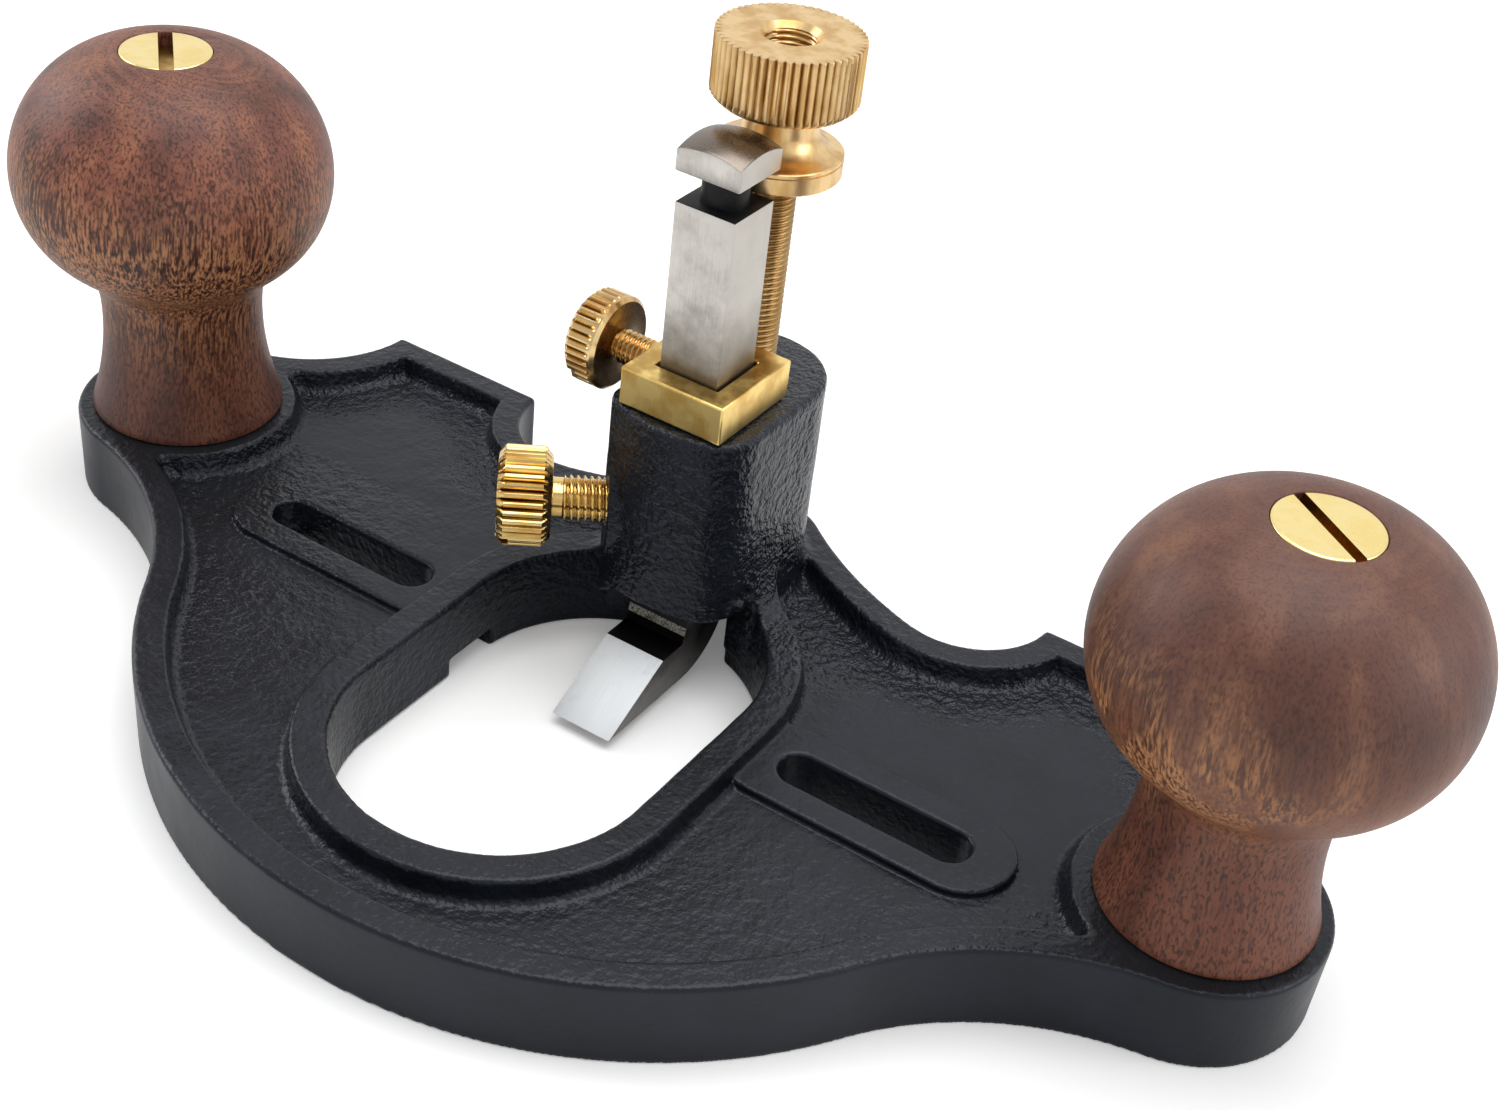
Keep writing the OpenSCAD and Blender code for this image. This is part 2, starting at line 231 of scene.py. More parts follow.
@dataclass(frozen=True)
class CastEnamel:
    """Black stove enamel on sand-cast iron: a deep satin blue-black that keeps
    the sand's grain in the hollows and is rubbed smoother on the outer walls.
    Faces that look up are painted a lighter grey, as light from above."""

    colour: str = "#111419"
    worn: str = "#1a1e25"
    painted_top_light: str = "#28292c"
    tint: str = "#eaeefd"
    painted_top_light_share: float = 0.5
    # Moulding sand is 0.2 to 0.3 mm: its grain and dimples are drawn coarser so that they show.
    grain_mm: float = 0.65
    dimple_mm: float = 1.5
    dimple_share: float = 0.7
    wave_mm: float = 9.0
    relief_mm: float = 0.34
    gloss_low: float = 0.29
    gloss_high: float = 0.4
    polish: float = -0.11

    def build(self) -> Material:
        """Build the enamel; its grain follows the casting's own attribute.

        Returns:
            The material.
        """
        material, tree, shader, place = start_material("black_stove_enamel", Specular_IOR_Level=0.3,
                                                       Specular_Tint=linear(self.tint))
        rough = add_node(tree, "ShaderNodeAttribute", attribute_name="grain").outputs["Fac"]
        sand = add_node(tree, NOISE, {"Vector": place, "Scale": per_mm(self.grain_mm), "Detail": 1.5,
                        "Roughness": 0.5})
        dimples = add_node(tree, "ShaderNodeTexVoronoi", {"Vector": place, "Scale": per_mm(self.dimple_mm),
                           "Smoothness": 0.4}, feature="SMOOTH_F1")
        wave = add_node(tree, NOISE, {"Vector": place, "Scale": per_mm(self.wave_mm),
                        "Detail": 3.0}).outputs[0]
        height = add_node(tree, MATH, {0: dimples.outputs["Distance"], 1: self.dimple_share,
                          2: sand.outputs[0]}, operation="MULTIPLY_ADD")
        tone = add_node(tree, RAMP, {"Fac": wave}, stops=((0.35, self.colour), (0.7, self.worn)))
        rubbed = add_node(tree, RANGE, {0: wave, 1: 0.3, 2: 0.7, 3: self.gloss_low, 4: self.gloss_high})
        gloss = add_node(tree, MATH, {0: rough, 1: self.polish, 2: rubbed.outputs[0]},
                         operation="MULTIPLY_ADD")
        # Faces that look up are mixed towards a lighter grey: painted light from above.
        top_lit_tone = add_node(tree, MIX, {0: turned_to(tree, UP, self.painted_top_light_share), 6: tone.outputs[0],
                          7: linear(self.painted_top_light)}, data_type="RGBA")
        wire(shader, top_lit_tone.outputs[2], gloss, height.outputs[0], self.relief_mm, rough)
        return material


@dataclass(frozen=True)
class GroundIron:
    """Grey cast iron, surface-ground: a dull silver sole with fine lengthwise
    scratches."""

    colour: str = "#8d8e8c"
    scored: str = "#777876"
    # Grinding marks are under 0.1 mm wide, and drawn coarser so that they show.
    scratch_mm: float = 0.25
    stretch: Triple = (0.04, 1.0, 1.0)
    relief_mm: float = 0.02

    def build(self) -> Material:
        """Build the ground iron of the sole.

        Returns:
            The material.
        """
        material, tree, shader, place = start_material("surface_ground_iron", Metallic=1.0)
        along = add_node(tree, MAPPING, {"Vector": place, "Scale": self.stretch})
        scratch = add_node(tree, NOISE, {"Vector": along.outputs[0], "Scale": per_mm(self.scratch_mm),
                           "Detail": 2.0}).outputs[0]
        tone = add_node(tree, RAMP, {"Fac": scratch}, stops=((0.3, self.scored), (0.7, self.colour)))
        gloss = add_node(tree, RANGE, {0: scratch, 3: 0.32, 4: 0.5})
        wire(shader, tone.outputs[0], gloss, scratch, self.relief_mm, 0.3)
        return material


@dataclass(frozen=True)
class OiledSapele:
    """Turned sapele under a thin oil finish: red-brown and finely peppered with
    pores on the crown's end grain, breaking into golden and dark upright fibres
    where the ball turns under, and plainer again down the stem. Where one_side
    is under one, the fibres are held to the side towards lit_side, where the lamp
    catches them: the grain is real, its strength there is a painted highlight."""

    side: Side
    bands: tuple[tuple[float, str], ...] = ((13.0, "#5f3529"), (21.0, "#6c3f2f"), (30.0, "#7c4934"),
                                            (36.0, "#885039"), (46.0, "#885243"), (60.0, "#7b4c40"))
    deep: str = "#4f3029"
    pale: str = "#ab7050"
    gold: str = "#c28a5d"
    dark: str = "#2a140d"
    # Fibres and pores are 0.1 to 0.2 mm wide, and drawn coarser so that they show.
    fibre_mm: float = 0.37
    pore_mm: float = 0.34
    figure_mm: float = 6.5
    paw_mm: float = 4.5
    ring_mm: float = 0.9
    paw_low: float = 0.15
    paw_high: float = 0.42
    spark: float = 0.85
    speckle: float = 1.0
    one_side: float = 1.0
    veil: float = 0.1
    char: float = 0.95
    fibre_from: float = 25.0
    banding: float = 0.9
    top: float = 66.0
    lean: float = 0.05
    sway: float = 0.07
    ragged_mm: float = 16.0
    relief_mm: float = 0.06
    lit_side: Triple = (-0.83, -0.56, 0.0)

    def build(self) -> Material:
        """Build the wood, centred on one knob's axis.

        Returns:
            The material.
        """
        name = f"oiled_sapele_{self.side.name.lower()}"
        material, tree, shader, place = start_material(name, Specular_IOR_Level=0.36)
        middle = (-self.side.value * KNOB_X * MM, -KNOB_LINE * MM, 0.0)
        axis = add_node(tree, MAPPING, {"Vector": place, "Location": middle,
                        "Rotation": (self.lean, self.sway * self.side.value, 0.0)}).outputs[0]
        grain: dict[str, Socket] = {}
        for title, width, stretch, detail, rough in (
            ("fibre", self.fibre_mm, 0.12, 2.0, 0.55),
            ("pores", self.pore_mm, 0.45, 0.0, 0.4),
            ("figure", self.figure_mm, 0.13, 3.0, 0.6),
            ("paws", self.paw_mm, 0.55, 1.0, 0.5),
        ):
            drawn = add_node(tree, MAPPING, {"Vector": axis, "Scale": (1.0, 1.0, stretch)})
            noise = add_node(tree, NOISE, {"Vector": drawn.outputs[0], "Scale": per_mm(width),
                             "Detail": detail, "Roughness": rough})
            grain[title] = noise.outputs[0]
        height = add_node(tree, SPLIT, {0: axis}).outputs[2]
        level = add_node(tree, MATH, {0: grain["paws"], 1: self.ragged_mm * MM, 2: height},
                         operation="MULTIPLY_ADD").outputs[0]
        facing = add_node(tree, "ShaderNodeNewGeometry").outputs["Normal"]
        tilt = add_node(tree, SPLIT, {0: facing}).outputs[2]
        aside = add_node(tree, VECTOR, {0: axis, 1: self.lit_side}, operation="DOT_PRODUCT").outputs["Value"]
        flat = add_node(tree, MAPPING, {"Vector": axis, "Scale": (1.0, 1.0, 0.0)})
        radius = add_node(tree, VECTOR, {0: flat.outputs[0]}, operation="LENGTH").outputs["Value"]
        rings = add_node(tree, NOISE, {"W": radius, "Scale": per_mm(self.ring_mm), "Detail": 1.0},
                         noise_dimensions="1D").outputs[0]
        fibre_low, fibre_high = (self.fibre_from - 10) * MM, (self.fibre_from + 7) * MM
        ranges = {
            "ball": (height, fibre_low, fibre_high, 0.05, 1.0),
            "below": (level, 60 * MM, 48 * MM, 0.0, 1.0),
            # The fibres show most on the side towards lit_side: a painted highlight where the lamp catches
            # them.
            "lamp_side_share": (aside, -6 * MM, 14 * MM, self.one_side, 1.0),
            "pawed": (grain["paws"], self.paw_low, self.paw_high, 0.15, 1.0),
            "banded": (grain["figure"], 0.5, 0.33, 0.0, self.banding),
            "glowing": (grain["figure"], 0.51, 0.68, 0.0, 0.7),
            "plain": (height, 25 * MM, 34 * MM, 0.3, 1.0),
            "gilded": (grain["fibre"], 0.44, 0.64, self.veil, 1.0),
            "charred": (grain["fibre"], 0.52, 0.36, 0.0, self.char),
            "flecked": (grain["fibre"], 0.53, 0.33, 0.0, 0.5),
            "peppered": (height, 22 * MM, 32 * MM, 1.0, self.speckle),
            "ringed": (rings, 0.42, 0.6, 0.0, 0.35),
            "topped": (tilt, 0.72, 0.92, 0.0, self.speckle),
            "crowned": (tilt, 0.5, 1.0, 0.0, 0.35),
            "pored": (grain["pores"], 0.56, 0.66, 0.0, 0.6),
        }
        share = {title: add_node(tree, RANGE, dict(enumerate(ends))).outputs[0]
                 for title, ends in ranges.items()}
        # Each share is narrowed by another: the fibres to the ball's underside and to the side
        # the lamp catches, the rings to its crown.
        for title, first, second in (
            ("under", "below", "ball"),
            ("under", "under", "lamp_side_share"),
            ("under", "under", "pawed"),
            ("glowing", "glowing", "plain"),
            ("gilded", "under", "gilded"),
            ("gilded", "gilded", self.spark),
            ("charred", "under", "charred"),
            ("flecked", "flecked", "peppered"),
            ("ringed", "ringed", "topped"),
            ("pored", "pored", "peppered"),
        ):
            share[title] = add_node(tree, MATH, {0: share[first], 1: share.get(second, second)},
                                    operation="MULTIPLY").outputs[0]
        stops = [(high / self.top, colour) for high, colour in self.bands]
        climb = add_node(tree, RANGE, {0: height, 1: 0.0, 2: self.top * MM, 3: 0.0, 4: 1.0})
        colour = add_node(tree, RAMP, {"Fac": climb.outputs[0]}, stops=stops).outputs[0]
        for title, layer in (
            ("banded", self.deep),
            ("glowing", self.pale),
            ("gilded", self.gold),
            ("charred", self.dark),
            ("flecked", self.dark),
            ("ringed", self.pale),
            ("crowned", self.deep),
            ("pored", self.dark),
        ):
            colour = add_node(tree, MIX, {0: share[title], 6: colour, 7: linear(layer)},
                              data_type="RGBA").outputs[2]
        sunk = add_node(tree, MATH, {0: share["pored"], 1: -1.0, 2: grain["fibre"]}, operation="MULTIPLY_ADD")
        gloss = add_node(tree, RANGE, {0: grain["fibre"], 1: 0.3, 2: 0.7, 3: 0.38, 4: 0.54})
        wire(shader, colour, gloss, sunk.outputs[0], self.relief_mm, 0.4)
        return material


@dataclass(frozen=True)
class TurnedBrass:
    """Yellow brass straight from the lathe: warm gold with fine tool rings that
    stretch its highlights, a little dulling from handling, and a brown at the
    bottom of the knurl and the thread that is partly patina and partly painted shade."""

    piece: str
    axis_point: Triple
    axis_turn: Triple = (0.0, 0.0, 0.0)
    colour: str = "#e6c88a"
    dull: str = "#c9a468"
    tarnish_and_shade: str = "#7a5224"
    darkening: float = 0.75
    # Tool rings are 0.05 to 0.1 mm apart, and drawn coarser so that they show.
    ring_mm: float = 0.22
    cloud_mm: float = 2.381
    relief_mm: float = 0.03
    gloss_low: float = 0.2
    gloss_high: float = 0.34
    ring_depth: float = 0.12

    def build(self) -> Material:
        """Build the brass with its rings about the piece's own axis.

        Returns:
            The material.
        """
        material, tree, shader, place = start_material(f"turned_brass_{self.piece}", Metallic=1.0)
        back = Matrix.Translation(Vector(self.axis_point) * MM) @ Euler(self.axis_turn).to_matrix().to_4x4()
        home = back.inverted()
        axis = add_node(tree, MAPPING, {"Vector": place, "Location": home.to_translation(),
                        "Rotation": home.to_euler()}).outputs[0]
        x, y, z = add_node(tree, SPLIT, {0: axis}).outputs[:3]
        flat = add_node(tree, "ShaderNodeCombineXYZ", {0: x, 1: y})
        radius = add_node(tree, VECTOR, {0: flat.outputs[0]}, operation="LENGTH").outputs["Value"]
        reach = add_node(tree, MATH, {0: radius, 1: z}, operation="ADD").outputs[0]
        wander = add_node(tree, NOISE, {"Scale": per_mm(self.ring_mm), "W": reach, "Detail": 2.0},
                          noise_dimensions="1D")
        drawn = add_node(tree, MAPPING, {"Vector": axis, "Scale": (1.0, 1.0, 0.35)})
        cloud = add_node(tree, NOISE, {"Vector": drawn.outputs[0], "Scale": per_mm(self.cloud_mm),
                         "Detail": 4.0}).outputs[0]
        metal = add_node(tree, RAMP, {"Fac": cloud}, stops=((0.35, self.dull), (0.58, self.colour)))
        # Bottoms of the knurl and the thread are mixed towards brown: partly patina, partly painted shade.
        depth = add_node(tree, "ShaderNodeAttribute", attribute_name="darkening").outputs["Fac"]
        most = add_node(tree, RANGE, {0: cloud, 1: 0.35, 2: 0.65, 3: min(1.0, 1.3 * self.darkening),
                        4: 0.65 * self.darkening})
        share = add_node(tree, RANGE, {0: depth, 1: 0.3, 2: 1.0, 3: 0.0, 4: most.outputs[0]})
        tone = add_node(tree, MIX, {0: share.outputs[0], 6: metal.outputs[0], 7: linear(self.tarnish_and_shade)},
                        data_type="RGBA")
        gloss = add_node(tree, RANGE, {0: cloud, 1: 0.3, 2: 0.7, 3: self.gloss_high, 4: self.gloss_low})
        wire(shader, tone.outputs[2], gloss, wander.outputs[0], self.relief_mm, self.ring_depth)
        return material


@dataclass(frozen=True)
class MilledBrass:
    """Brass bar, sawn, milled and linished: paler gold with straight fine
    scratches, and patches of brown on the faces that look up that are partly
    finger stains and partly painted shade."""

    colour: str = "#fedd8c"
    dull: str = "#e4b866"
    stain_and_shade: str = "#8a6a30"
    # Linishing scratches are under 0.1 mm wide, and drawn coarser so that they show.
    scratch_mm: float = 0.3
    scratch_share: float = 0.14
    cloud_mm: float = 3.846
    relief_mm: float = 0.02

    def build(self) -> Material:
        """Build the brass of the depth-stop collar.

        Returns:
            The material.
        """
        material, tree, shader, place = start_material("milled_brass", Metallic=1.0)
        drawn = add_node(tree, MAPPING, {"Vector": place, "Scale": (1.0, 1.0, 0.06)})
        scratch = add_node(tree, NOISE, {"Vector": drawn.outputs[0], "Scale": per_mm(self.scratch_mm),
                           "Detail": 3.0}).outputs[0]
        cloud = add_node(tree, NOISE, {"Vector": place, "Scale": per_mm(self.cloud_mm),
                         "Detail": 4.0}).outputs[0]
        mixed = add_node(tree, MATH, {0: scratch, 1: self.scratch_share, 2: cloud}, operation="MULTIPLY_ADD")
        tone = add_node(tree, RAMP, {"Fac": mixed.outputs[0]}, stops=((0.42, self.dull), (0.62, self.colour)))
        # Faces that look up are mixed towards brown in patches: partly finger stains, partly painted shade.
        spots = add_node(tree, RANGE, {0: cloud, 1: 0.6, 2: 0.42, 3: 0.0, 4: 0.5})
        share = add_node(tree, MATH, {0: turned_to(tree, UP, 1.0), 1: spots.outputs[0]}, operation="MULTIPLY")
        stained_and_shaded = add_node(tree, MIX, {0: share.outputs[0], 6: tone.outputs[0], 7: linear(self.stain_and_shade)},
                           data_type="RGBA")
        gloss = add_node(tree, RANGE, {0: scratch, 3: 0.26, 4: 0.34})
        wire(shader, stained_and_shaded.outputs[2], gloss, scratch, self.relief_mm, 0.05)
        return material


@dataclass(frozen=True)
class GroundSteel:
    """Ground tool steel: cool grey with fine grinding lines and soft dark smears
    where the black from hardening was not all ground off. Faces towards one
    chosen side take the smears' grey as painted shade, and on the shank a brown
    zone that darkens down towards the collar is a painted reflection of the collar."""

    name: str = "ground_tool_steel"
    colour: str = "#e4e0d9"
    smear_and_shade: str = "#b9b4ac"
    # Grinding lines are 0.02 to 0.05 mm wide, and drawn coarser so that they show.
    line_mm: float = 0.16
    stretch: Triple = (1.0, 1.0, 0.03)
    gloss_low: float = 0.36
    gloss_high: float = 0.5
    shaded_side: Triple = (0.0, 0.0, 0.0)
    spread: Pair = (0.48, 0.66)
    darkening: str = "#645a4c"
    reflection_top: float = 0.0
    reflection_foot: float = 46.5
    reflection_share: float = 0.88
    ragged_mm: float = 5.0
    cloud_mm: float = 4.762
    relief_mm: float = 0.02

    def build(self) -> Material:
        """Build the ground steel.

        Returns:
            The material.
        """
        material, tree, shader, place = start_material(self.name, Metallic=1.0)
        drawn = add_node(tree, MAPPING, {"Vector": place, "Scale": self.stretch})
        lines = add_node(tree, NOISE, {"Vector": drawn.outputs[0], "Scale": per_mm(self.line_mm),
                         "Detail": 3.0}).outputs[0]
        cloud = add_node(tree, NOISE, {"Vector": place, "Scale": per_mm(self.cloud_mm), "Detail": 5.0,
                         "Roughness": 0.65}).outputs[0]
        mixed = add_node(tree, MATH, {0: lines, 1: 0.35, 2: cloud}, operation="MULTIPLY_ADD")
        tone = add_node(tree, RAMP, {"Fac": mixed.outputs[0]},
                        stops=((self.spread[0], self.smear_and_shade), (self.spread[1], self.colour)))
        # Faces towards the given side are mixed towards the smears' grey: painted shade.
        colour = add_node(tree, MIX, {0: turned_to(tree, self.shaded_side, 0.75), 6: tone.outputs[0],
                          7: linear(self.smear_and_shade)}, data_type="RGBA").outputs[2]
        # A brown zone that darkens down towards the collar: a painted reflection of the collar.
        if self.reflection_top:
            height = add_node(tree, SPLIT, {0: place}).outputs[2]
            uneven = add_node(tree, MATH, {0: cloud, 1: self.ragged_mm * MM, 2: height},
                              operation="MULTIPLY_ADD")
            # The cloud's middle value lifts the zone by half its raggedness.
            lift = self.ragged_mm / 2
            share = add_node(tree, RANGE, {0: uneven.outputs[0], 1: (self.reflection_top + lift) * MM,
                             2: (self.reflection_foot + lift) * MM, 3: 0.0, 4: self.reflection_share})
            colour = add_node(tree, MIX, {0: share.outputs[0], 6: colour, 7: linear(self.darkening)},
                              data_type="RGBA").outputs[2]
        gloss = add_node(tree, RANGE, {0: lines, 1: 0.3, 2: 0.7, 3: self.gloss_low, 4: self.gloss_high})
        wire(shader, colour, gloss, lines, self.relief_mm, 0.12)
        return material


@dataclass(frozen=True)
class BlackOxide:
    """Scale left by hardening on tool steel: near black and satin, with a
    salt-and-pepper speckle where it has chipped."""

    name: str = "black_oxide_scale"
    colour: str = "#060607"
    chip: str = "#191c25"
    speck_mm: float = 0.35
    spread: Pair = (0.45, 0.8)
    sheen: float = 0.5
    relief_mm: float = 0.05

    def build(self) -> Material:
        """Build the black of the neck, the shoulder and the foot's top.

        Returns:
            The material.
        """
        material, tree, shader, place = start_material(self.name, Metallic=0.4, Specular_IOR_Level=self.sheen)
        speck = add_node(tree, NOISE, {"Vector": place, "Scale": per_mm(self.speck_mm), "Detail": 3.0,
                         "Roughness": 0.7}).outputs[0]
        tone = add_node(tree, RAMP, {"Fac": speck},
                        stops=((self.spread[0], self.colour), (self.spread[1], self.chip)))
        gloss = add_node(tree, RANGE, {0: speck, 3: 0.4, 4: 0.6})
        wire(shader, tone.outputs[0], gloss, speck, self.relief_mm, 0.4)
        return material


def make_piece(
    name: str,
    points: Array,
    faces: Sequence[Sequence[int]],
    materials: Sequence[Material],
    crease: float | None = 35.0,
) -> Piece:
    """Make a mesh object from points in millimetres.

    Args:
        name: Name of the piece.
        points: Corners in the knob-line frame or a piece's own frame.
        faces: Corner numbers of each face.
        materials: Finishes, in slot order.
        crease: Angle in degrees past which an edge stays sharp, or None for all smooth.

    Returns:
        The linked object, at the origin.
    """
    mesh = bpy.data.meshes.new(name)
    mesh.from_pydata((np.asarray(points, dtype=float) * MM).tolist(), [], [list(face) for face in faces])
    for material in materials:
        mesh.materials.append(material)
    mesh.shade_smooth()
    if crease is not None:
        mesh.set_sharp_from_angle(angle=math.radians(crease))
    mesh.update()
    piece = bpy.data.objects.new(name, mesh)
    bpy.context.scene.collection.objects.link(piece)
    return piece


def settle(piece: Piece) -> None:
    """Turn a piece and its modifiers into one plain mesh.

    Args:
        piece: Object whose modifiers are evaluated and removed.
    """
    depsgraph = bpy.context.evaluated_depsgraph_get()
    mesh = bpy.data.meshes.new_from_object(piece.evaluated_get(depsgraph), depsgraph=depsgraph)
    piece.modifiers.clear()
    old = piece.data
    piece.data = mesh
    mesh.name = piece.name
    bpy.data.meshes.remove(old)


def combine(piece: Piece, tool: Piece, how: Joining) -> None:
    """Cut a piece with another, or weld the two, and delete the other.

    Args:
        piece: Object that is kept.
        tool: The other, a closed object.
        how: Whether the other cuts or is added.
    """
    modifier = piece.modifiers.new("combine", "BOOLEAN")
    modifier.object = tool
    modifier.operation = how.value
    modifier.solver = "EXACT"
    settle(piece)
    shape = tool.data
    bpy.data.objects.remove(tool)
    bpy.data.meshes.remove(shape)


def soften(piece: Piece, width: float, rounds: int = 2, angle: float = 30.0) -> None:
    """Round every edge sharper than an angle.

    Args:
        piece: Object whose edges are rounded.
        width: Width of the rounding in millimetres.
        rounds: Rows of faces in the rounding.
        angle: Smallest edge angle that is rounded, in degrees.
    """
    modifier = piece.modifiers.new("soften", "BEVEL")
    modifier.width = width * MM
    modifier.segments = rounds
    modifier.limit_method = "ANGLE"
    modifier.angle_limit = math.radians(angle)
    modifier.harden_normals = False
    settle(piece)


def box(name: str, low: Triple, high: Triple) -> Piece:
    """Make a plain block to cut or weld with.

    Args:
        name: Name of the block.
        low: Lowest corner in millimetres.
        high: Highest corner in millimetres.

    Returns:
        The block.
    """
    corners = np.array(list(product(*zip(low, high))))
    faces = ((0, 1, 3, 2), (4, 6, 7, 5), (0, 4, 5, 1), (2, 3, 7, 6), (0, 2, 6, 4), (1, 5, 7, 3))
    return make_piece(name, corners, faces, (), 30.0)


@dataclass
class Profile:
    """A closed outline, radius and height, that a turned piece is spun from.

    Each point carries how deep the knurl bites there, and the thread: plus one
    for a thread on the outside, minus one for a thread in a bore.
    """

    points: list[tuple[float, float, float, float]] = field(default_factory=list)

    def go(self, radius: float, height: float, knurl: float = 0.0, thread: float = 0.0) -> Profile:
        """Add one point and return the profile."""
        self.points.append((radius, height, knurl, thread))
        return self

    def run(self, radius: float, height: float, steps: int, knurl: float = 0.0,
            thread: float = 0.0) -> Profile:
        """Add a straight run of points from the last one.

        Args:
            radius: Radius at the end of the run.
            height: Height at the end of the run.
            steps: Number of points added.
            knurl: Bite of the knurl along the run.
            thread: Kind of thread along the run.

        Returns:
            The profile.
        """
        r0, z0 = self.points[-1][:2]
        for i in range(1, steps + 1):
            share = i / steps
            self.go(r0 + (radius - r0) * share, z0 + (height - z0) * share, knurl, thread)
        return self

    def bend(self, centre: Pair, radius: float, start: float, end: float, steps: int) -> Profile:
        """Add an arc.

        Args:
            centre: Radius and height of the arc's centre.
            radius: Radius of the arc.
            start: First angle in degrees, from the outward direction.
            end: Last angle in degrees.
            steps: Number of spaces along the arc.

        Returns:
            The profile.
        """
        for i in range(steps + 1):
            angle = math.radians(start + (end - start) * i / steps)
            self.go(centre[0] + radius * math.cos(angle), centre[1] + radius * math.sin(angle))
        return self

    def spin(self, name: str, around: int, materials: Sequence[Material],
             crease: float | None = 35.0) -> Piece:
        """Spin the outline about the Z axis.

        Args:
            name: Name of the piece.
            around: Number of steps round the axis.
            materials: Finishes, in slot order.
            crease: Angle past which an edge stays sharp.

        Returns:
            The turned piece, with the marks as attributes.
        """
        rows = np.array(self.points)
        closed = rows[0, 0] > 0 and rows[-1, 0] > 0
        turn = np.arange(around) * 2 * math.pi / around
        points: list[Triple] = []
        marks: list[Pair] = []
        rings: list[list[int]] = []
        for radius, height, knurl, thread in rows:
            first = len(points)
            if radius <= 0:
                points.append((0.0, 0.0, height))
                marks.append((knurl, thread))
                rings.append([first] * around)
                continue
            points.extend(zip(radius * np.cos(turn), radius * np.sin(turn), np.full(around, height)))
            marks.extend([(knurl, thread)] * around)
            rings.append(list(range(first, first + around)))
        faces: list[list[int]] = []
        pairs = list(zip(rings, rings[1:] + rings[:1]))
        for low, high in pairs if closed else pairs[:-1]:
            for i in range(around):
                j = (i + 1) % around
                loop = [low[i], low[j], high[j], high[i]]
                faces.append(list(dict.fromkeys(loop)))
        piece = make_piece(name, np.array(points), faces, materials, crease)
        for title, column in (("knurl", 0), ("thread", 1)):
            layer = piece.data.attributes.new(title, "FLOAT", "POINT")
            layer.data.foreach_set("value", np.array(marks)[:, column].astype(np.float32))
        return piece


